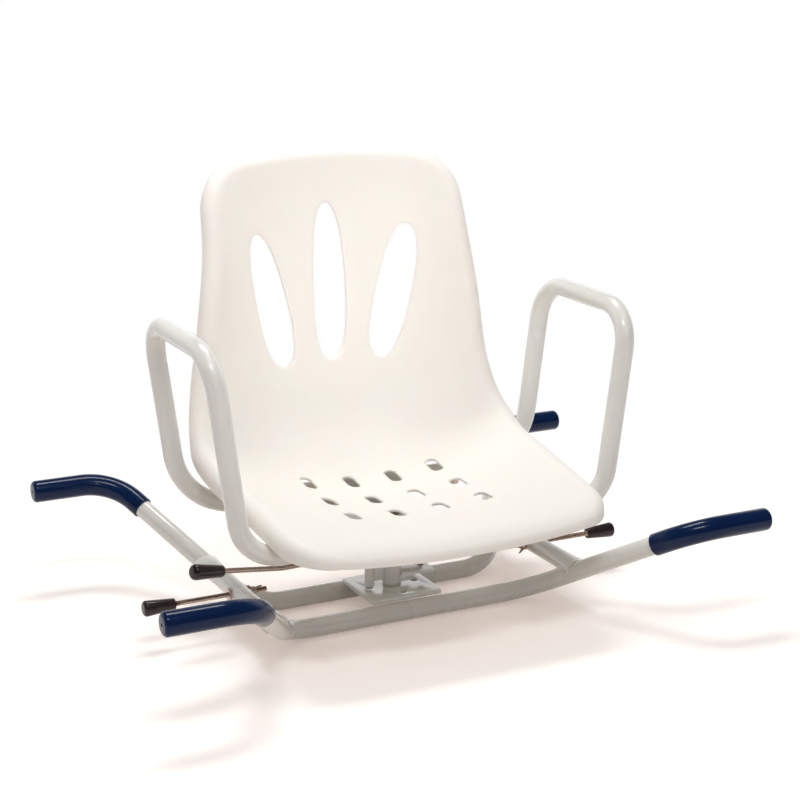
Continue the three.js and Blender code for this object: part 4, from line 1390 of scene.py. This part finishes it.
    def slot_tool(self, outline: Sequence[tuple[float, float]], back: bool, name: str) -> Piece:
        """Makes a cutter whose mouth flares, so that it leaves rounded edges on both faces.

        Args:
            outline: points across and up (or along Y on the seat), in metres.
            back: whether the slot is in the back, and not in the seat.
            name: the cutter's name.

        Returns:
            The cutter.
        """
        radius = self.slot_edge
        count = len(outline)
        middle = Vector((sum(p[0] for p in outline) / count, sum(p[1] for p in outline) / count))
        profile = [(self.slot_flare, radius + self.slot_flare)]
        for k in range(self.slot_steps + 1):
            angle = k / self.slot_steps * math.pi / 2
            profile.append((-radius * (1 - math.cos(angle)), radius * (1 - math.sin(angle))))
        profile += [(-self.wall - depth, spread) for depth, spread in reversed(profile)]
        tool = bpy.data.meshes.new(name)
        edit = bmesh.new()
        loops = []
        for depth, spread in profile:
            loop = []
            for k, (x, v) in enumerate(outline):
                x0, v0 = outline[k - 1]
                x1, v1 = outline[(k + 1) % count]
                along = Vector((x1 - x0, v1 - v0)).normalized()
                out = Vector((along.y, -along.x))
                if out.dot(Vector((x, v)) - middle) < 0:
                    out = -out
                px, pv = x + out.x * spread, v + out.y * spread
                base, facing = self.on_surface(px, pv, back)
                loop.append(edit.verts.new(base + facing * depth))
            loops.append(loop)
        for lower, upper in zip(loops, loops[1:]):
            for k in range(count):
                edit.faces.new((lower[k], lower[(k + 1) % count], upper[(k + 1) % count], upper[k]))
        edit.faces.new(loops[0])
        edit.faces.new(loops[-1])
        bmesh.ops.recalc_face_normals(edit, faces=edit.faces)
        edit.to_mesh(tool)
        edit.free()
        cutter = bpy.data.objects.new(name, tool)
        bpy.context.scene.collection.objects.link(cutter)
        return cutter

    def on_surface(self, x: float, v: float, back: bool) -> tuple[Vector, Vector]:
        """Finds the sitting surface at a place.

        Args:
            x: the place across.
            v: the height on the back, or Y on the seat.
            back: whether the place is on the back.

        Returns:
            The point and the way the surface faces there.
        """
        low, high = self.back_range if back else self.seat_range
        for _ in range(self.search_steps):
            t = (low + high) / 2
            across = self.across_at(x, t)
            point = self.surface(across, t)
            value = point.z if back else point.y
            if value < v:
                low = t
            else:
                high = t
        return point, self.normal(across, t)

    def across_at(self, x: float, t: float) -> float:
        """The share across at a distance from the middle."""
        width = catmull_rom(self.stations, t)[2]
        return x / (width * self.half_width - self.rim)

    def add_bosses(self, shell: Piece) -> None:
        """Adds the four screw bosses under the seat, each with a blind bore.

        Args:
            shell: the shell with its wall.
        """
        up = Vector((0, 0, 1))
        bosses = []
        bores = []
        for side in Side:
            for y in self.screw_rows:
                foot = Vector((side.value * self.screw_across, y, 0))
                profile = (
                    (self.boss_radius - self.boss_edge, self.boss_foot),
                    (self.boss_radius, self.boss_foot + self.boss_edge),
                    (self.boss_radius, self.height),
                )
                bosses.append(self.trimmed(TurnedPiece(foot, up, profile).build("boss"), self.wall / 2))
                profile = ((self.bore_radius, self.bore_foot), (self.bore_radius, self.height))
                bores.append(self.trimmed(TurnedPiece(foot, up, profile).build("bore"), self.bore_skin))
        cut_away(shell, join_pieces(bosses), "UNION")
        cut_away(shell, join_pieces(bores))

    def trimmed(self, post: Piece, depth: float) -> Piece:
        """Moves the top of an upright post to a depth below the sitting surface.

        Args:
            post: the post, whose top is at the shell's height.
            depth: how far below the surface the top ends, all round.

        Returns:
            The same post.
        """
        for point in post.data.vertices:
            if point.co.z > self.height - self.boss_edge:
                point.co.z = self.on_surface(point.co.x, point.co.y, False)[0].z - depth
        return post

    def cut_slots(self, shell: Piece) -> None:
        """Cuts the three back slots and the twelve drain slots.

        Args:
            shell: the shell with its wall.
        """
        for x, z, length, width, lean in self.back_slots:
            outline = self.leaf(Vector((x, z)), length, width, lean)
            cut_away(shell, self.slot_tool(outline, True, "back_slot"))
        for column in range(4):
            for row in range(3):
                x = (column - 1.5) * self.drain_pitch.x
                y = (row - 1) * self.drain_pitch.y - self.drain_forward
                outline = self.drain(x, y)
                cut_away(shell, self.slot_tool(outline, False, "drain_slot"))

    @staticmethod
    def leaf(place: Vector, length: float, width: float, lean: float) -> list[tuple[float, float]]:
        """The leaf-shaped outline of a back slot: four smooth curves round its belly.

        Args:
            place: its middle, across and up.
            length: its length.
            width: its greatest width.
            lean: how far its top leans to the right, in radians.

        Returns:
            The outline's points.
        """
        belly = length * 0.4
        half = width / 2
        top = half * 0.8
        curves = (
            ((0, 0), (half * 0.75, 0), (half, belly * 0.4), (half, belly)),
            ((half, belly), (half, belly + length * 0.3), (top, length), (0, length)),
            ((0, length), (-top, length), (-half, belly + length * 0.3), (-half, belly)),
            ((-half, belly), (-half, belly * 0.4), (-half * 0.75, 0), (0, 0)),
        )
        points = []
        for corners in curves:
            for k in range(16):
                t = k / 16
                weights = ((1 - t) ** 3, 3 * t * (1 - t) ** 2, 3 * t * t * (1 - t), t**3)
                x, v = (sum(w * p[axis] for w, p in zip(weights, corners)) for axis in (0, 1))
                v -= length / 2
                across = place.x + x * math.cos(lean) + v * math.sin(lean)
                up = place.y - x * math.sin(lean) + v * math.cos(lean)
                points.append((across, up))
        return points

    def drain(self, x: float, y: float) -> list[tuple[float, float]]:
        """The outline of a drain slot with round ends, about its middle."""
        radius = self.drain_width / 2
        straight = self.drain_length / 2 - radius
        points = []
        for end in (1, -1):
            for k in range(13):
                angle = k / 12 * math.pi
                across = radius * math.cos(angle)
                points.append((x + end * across, y + end * (straight + radius * math.sin(angle))))
        return points


@dataclass
class SwivelHub:
    """The hub sleeve under the seat, which turns on the pivot post."""

    finishes: Finishes
    hub_radius: float = 11 * MM
    hub_bore: float = 8.5 * MM
    hub_bottom: float = 29.4 * MM
    hub_top: float = 114.7 * MM
    hub_edge: float = 0.8 * MM

    def build(self) -> None:
        """Builds the sleeve."""
        profile = sleeve_profile(self.hub_radius, self.hub_bore, self.hub_bottom, self.hub_top, self.hub_edge)
        hub = TurnedPiece(Vector(), Vector((0, 0, 1)), profile, 48, closed_ring=True).build("hub_sleeve_skin")
        self.finishes.finish_piece(hub, FinishKind.POWDER_COAT, "seat", "hub_sleeve")


@dataclass
class LockLever:
    """The bent rod that lifts the lock pin, with its moulded knob."""

    finishes: Finishes
    rod: float = 6 * MM
    knob_length: float = 42 * MM
    knob_radius: float = 9 * MM
    knob_root: float = 7 * MM
    knob_edge: float = 6 * MM
    knob_socket: float = 26 * MM

    bend: float = 20 * MM
    hook_bend: float = 6 * MM
    end_edge: float = 0.8 * MM
    corners: tuple[tuple[float, float, float], ...] = (
        (-243.5, -30, 92),
        (-138.5, 0, 69.2),
        (-91.5, 12, 65),
        (-40, 17, 57.8),
        (11, 17, 48.8),
        (41, 7, 48.5),
        (41, 7, 34.5),
    )

    def build(self) -> None:
        """Builds the rod and the knob."""
        corners = tuple(Vector(corner) * MM for corner in self.corners)
        end, bend, foot = corners[0], corners[1], corners[-1]
        radii = (self.bend,) * 4 + (self.hook_bend,)
        rod = BentBar(corners, radii, self.rod, sides=20, steps_per_turn=64).build("lever_bar")
        with editing(rod):
            select_only(rod, "FACE", flat_end(foot, Vector((0, 0, -1))))
            bpy.ops.mesh.bevel(offset=self.end_edge, segments=2)
        self.finishes.finish_piece(rod, FinishKind.STEEL, "lever", "lever_rod")
        way = (end - bend).normalized()
        base = end - way * self.knob_socket
        profile = (
            (self.rod / 2, 0.8 * MM),
            (self.knob_root - 1.4 * MM, 0.0),
            (self.knob_root - 0.4 * MM, 0.35 * MM),
            (self.knob_root, 1.4 * MM),
            *domed_end(self.knob_radius, self.knob_edge, self.knob_length),
        )
        knob = TurnedPiece(base, way, profile, 36).build("lever_knob_skin")
        self.finishes.finish_piece(knob, FinishKind.KNOB, "lever", "lever_knob")


@dataclass
class PlainParts:
    """The small CAD nodes that keep their own shape and get a finish."""

    finishes: Finishes
    by_finish: dict[FinishKind, tuple[str, ...]] = field(
        default_factory=lambda: {
            FinishKind.POWDER_COAT: ("seat_bracket", "pin_housing", "housing_web", "lever_tab"),
            FinishKind.NYLON: ("thrust_washer", "lower_bush", "upper_bush"),
            FinishKind.STEEL: (
                *(f"{side.word}_{part}" for side in Side for part in ("brace_bush", "rod_washer")),
                "pivot_post",
                "pivot_washer",
                "pivot_bolt",
                "housing_cap",
                "lock_pin",
                "lock_finger",
                "lock_spring",
                "lever_clip",
                *(
                    f"{part}_{end.word}_{side.word}"
                    for part in ("seat_screw", "screw_washer")
                    for end in End
                    for side in Side
                ),
            ),
        }
    )

    def build(self) -> None:
        """Dresses each node in place."""
        for kind, names in self.by_finish.items():
            for name in names:
                self.finishes.dress(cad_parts[name], kind)
        log.info("dressed %d CAD nodes", sum(len(names) for names in self.by_finish.values()))


@dataclass(frozen=True)
class Lamp:
    """A rectangular soft box.

    Attributes:
        name: the lamp's name.
        place: where it hangs.
        target: the point it faces.
        size: its width and height in metres.
        power: its power in watts.
        colour: the colour of its light.
        spread: how far its light spreads, in degrees.
    """

    name: str
    place: Colour
    target: Colour
    size: tuple[float, float]
    power: float
    colour: Colour
    spread: float = 180

    def build(self) -> None:
        """Hangs the lamp and turns it to its target."""
        lamp = bpy.data.lights.new(self.name, "AREA")
        lamp.shape = "RECTANGLE"
        lamp.size, lamp.size_y = self.size
        lamp.energy = self.power
        lamp.color = self.colour
        lamp.spread = math.radians(self.spread)
        holder = bpy.data.objects.new(self.name, lamp)
        holder.location = self.place
        holder.rotation_euler = (Vector(self.place) - Vector(self.target)).to_track_quat("Z", "Y").to_euler()
        bpy.context.scene.collection.objects.link(holder)


@dataclass
class Studio:
    """A pale floor, soft lamps and the camera.

    The floor is white beyond floor_fade, in metres from the middle. The world is white behind the object,
    from behind_fade on, and dim above ceiling_fade, both as shares of a direction's Y and Z.
    """

    camera_place: Vector = field(default_factory=lambda: Vector((-0.8843, -1.8138, 0.7927)))
    camera_turn: tuple[float, float, float] = (math.radians(74.95), 0.0, math.radians(-26.27))
    lens: float = 82.44
    floor_size: float = 120
    floor_gap: float = 0.2 * MM
    floor_fade: tuple[float, float] = (0.45, 0.8)
    floor_colour: Colour = (0.97, 0.97, 0.97)
    bounce_colour: Colour = (0.8, 0.72, 0.67)
    shadow_tint: Colour = (0.3, 0.24, 0.21)
    room_colour: Colour = (1.0, 0.99, 0.98)
    room_strength: float = 0.42
    ceiling_strength: float = 0.12
    backdrop_strength: float = 1.0
    behind_fade: tuple[float, float] = (-0.1, 0.4)
    ceiling_fade: tuple[float, float] = (0.7, 0.3)
    lamps: tuple[Lamp, ...] = (
        Lamp("front", (-0.5, -1.3, 2.3), (0, 0, 0.2), (0.9, 0.35), 15, (1.0, 0.99, 0.985)),
        Lamp("top", (0.1, 0.6, 2.25), (0, 0, 0.2), (1.0, 0.45), 20, (1.0, 0.99, 0.98)),
        Lamp("back_panel", (-0.35, -1.9, 1.25), (0, 0.17, 0.38), (0.35, 0.25), 0.22, (1, 0.98, 0.96), 18),
    )

    def build(self) -> None:
        """Builds the camera, the floor, the world and the lamps."""
        self.build_camera()
        self.build_floor()
        self.build_world()
        for lamp in self.lamps:
            lamp.build()
        bpy.context.scene.view_settings.view_transform = "Standard"

    def build_camera(self) -> None:
        """Places the camera as the photograph has it."""
        camera = bpy.data.cameras.new("Camera")
        camera.lens = self.lens
        camera.sensor_width = 36
        camera.clip_end = 200
        holder = bpy.data.objects.new("Camera", camera)
        holder.location = self.camera_place
        holder.rotation_euler = self.camera_turn
        bpy.context.scene.collection.objects.link(holder)
        bpy.context.scene.camera = holder

    def build_floor(self) -> None:
        """Builds a wide floor that keeps shadows near the object and turns white further out."""
        select_nothing()
        bpy.ops.mesh.primitive_plane_add(size=self.floor_size, location=(0, 0, -self.floor_gap))
        floor = settle(bpy.context.object, "floor")
        material = bpy.data.materials.new("Pale floor")
        material.use_nodes = True
        tree = material.node_tree
        tree.nodes.remove(tree.nodes["Principled BSDF"])
        distance = add_node(tree, "VectorMath", operation="LENGTH")
        tree.links.new(add_node(tree, "TexCoord").outputs["Object"], distance.inputs[0])
        outer = smooth_ramp(tree, distance.outputs["Value"], *self.floor_fade)
        diffuse, bounce = (
            add_node(tree, "BsdfDiffuse", Color=(*colour, 1)).outputs[0]
            for colour in (self.floor_colour, self.bounce_colour)
        )
        glow = add_node(tree, "Emission", Color=(*self.shadow_tint, 1), Strength=1.0).outputs[0]
        lifted = joined(tree, "AddShader", diffuse, glow)
        white = add_node(tree, "Emission", Strength=1.0).outputs[0]
        seen = joined(tree, "MixShader", outer, lifted, white)
        mixed = joined(tree, "MixShader", self.seen_rays(tree), bounce, seen)
        tree.links.new(mixed, tree.nodes["Material Output"].inputs["Surface"])
        floor.data.materials.clear()
        floor.data.materials.append(material)

    @staticmethod
    def seen_rays(tree: Tree) -> Socket:
        """Tells camera, glossy and transmission rays from the rest.

        Args:
            tree: the nodes to add to.

        Returns:
            A socket that is 1 for those rays.
        """
        path = add_node(tree, "LightPath").outputs
        first = joined(tree, "Math", path["Is Camera Ray"], path["Is Glossy Ray"], operation="MAXIMUM")
        return joined(tree, "Math", first, path["Is Transmission Ray"], operation="MAXIMUM")

    def backdrop_mask(self, tree: Tree) -> Socket:
        """Marks the directions behind the object, below the studio's dim ceiling.

        Args:
            tree: the nodes to add to.

        Returns:
            A socket that is 1 towards the backdrop and 0 overhead and in front.
        """
        way = add_node(tree, "TexCoord").outputs["Generated"]
        parts = add_node(tree, "SeparateXYZ", Vector=way).outputs
        behind = smooth_ramp(tree, parts["Y"], *self.behind_fade)
        low = smooth_ramp(tree, parts["Z"], *self.ceiling_fade)
        return joined(tree, "Math", behind, low, operation="MULTIPLY")

    def build_world(self) -> None:
        """Makes a white backdrop that is seen and mirrored, in a room that lights the object softly."""
        world = bpy.data.worlds.new("World")
        world.use_nodes = True
        bpy.context.scene.world = world
        tree = world.node_tree
        room = tree.nodes["Background"]
        feed(room, Color=(*self.room_colour, 1), Strength=self.room_strength)
        dim, white = (
            add_node(tree, "Background", Color=(1, 1, 1, 1), Strength=strength).outputs[0]
            for strength in (self.ceiling_strength, self.backdrop_strength)
        )
        mirrored = joined(tree, "MixShader", self.backdrop_mask(tree), dim, white)
        indirect = joined(tree, "MixShader", self.seen_rays(tree), room.outputs[0], mirrored)
        camera = add_node(tree, "LightPath").outputs["Is Camera Ray"]
        mixed = joined(tree, "MixShader", camera, indirect, white)
        tree.links.new(mixed, tree.nodes["World Output"].inputs["Surface"])


def main() -> None:
    """Builds the dressed object and its studio, in order."""
    logging.basicConfig(level=logging.INFO, format="%(name)s: %(message)s")
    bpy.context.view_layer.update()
    Studio().build()
    finishes = Finishes()
    finishes.build()
    base = BaseFrame(finishes)
    base.build()
    for side in Side:
        WallBuffer(finishes, side, base).build()
        ArmFrame(finishes, side).build()
    SeatShell(finishes).build()
    SwivelHub(finishes).build()
    LockLever(finishes).build()
    PlainParts(finishes).build()


if __name__ == "__main__":
    main()
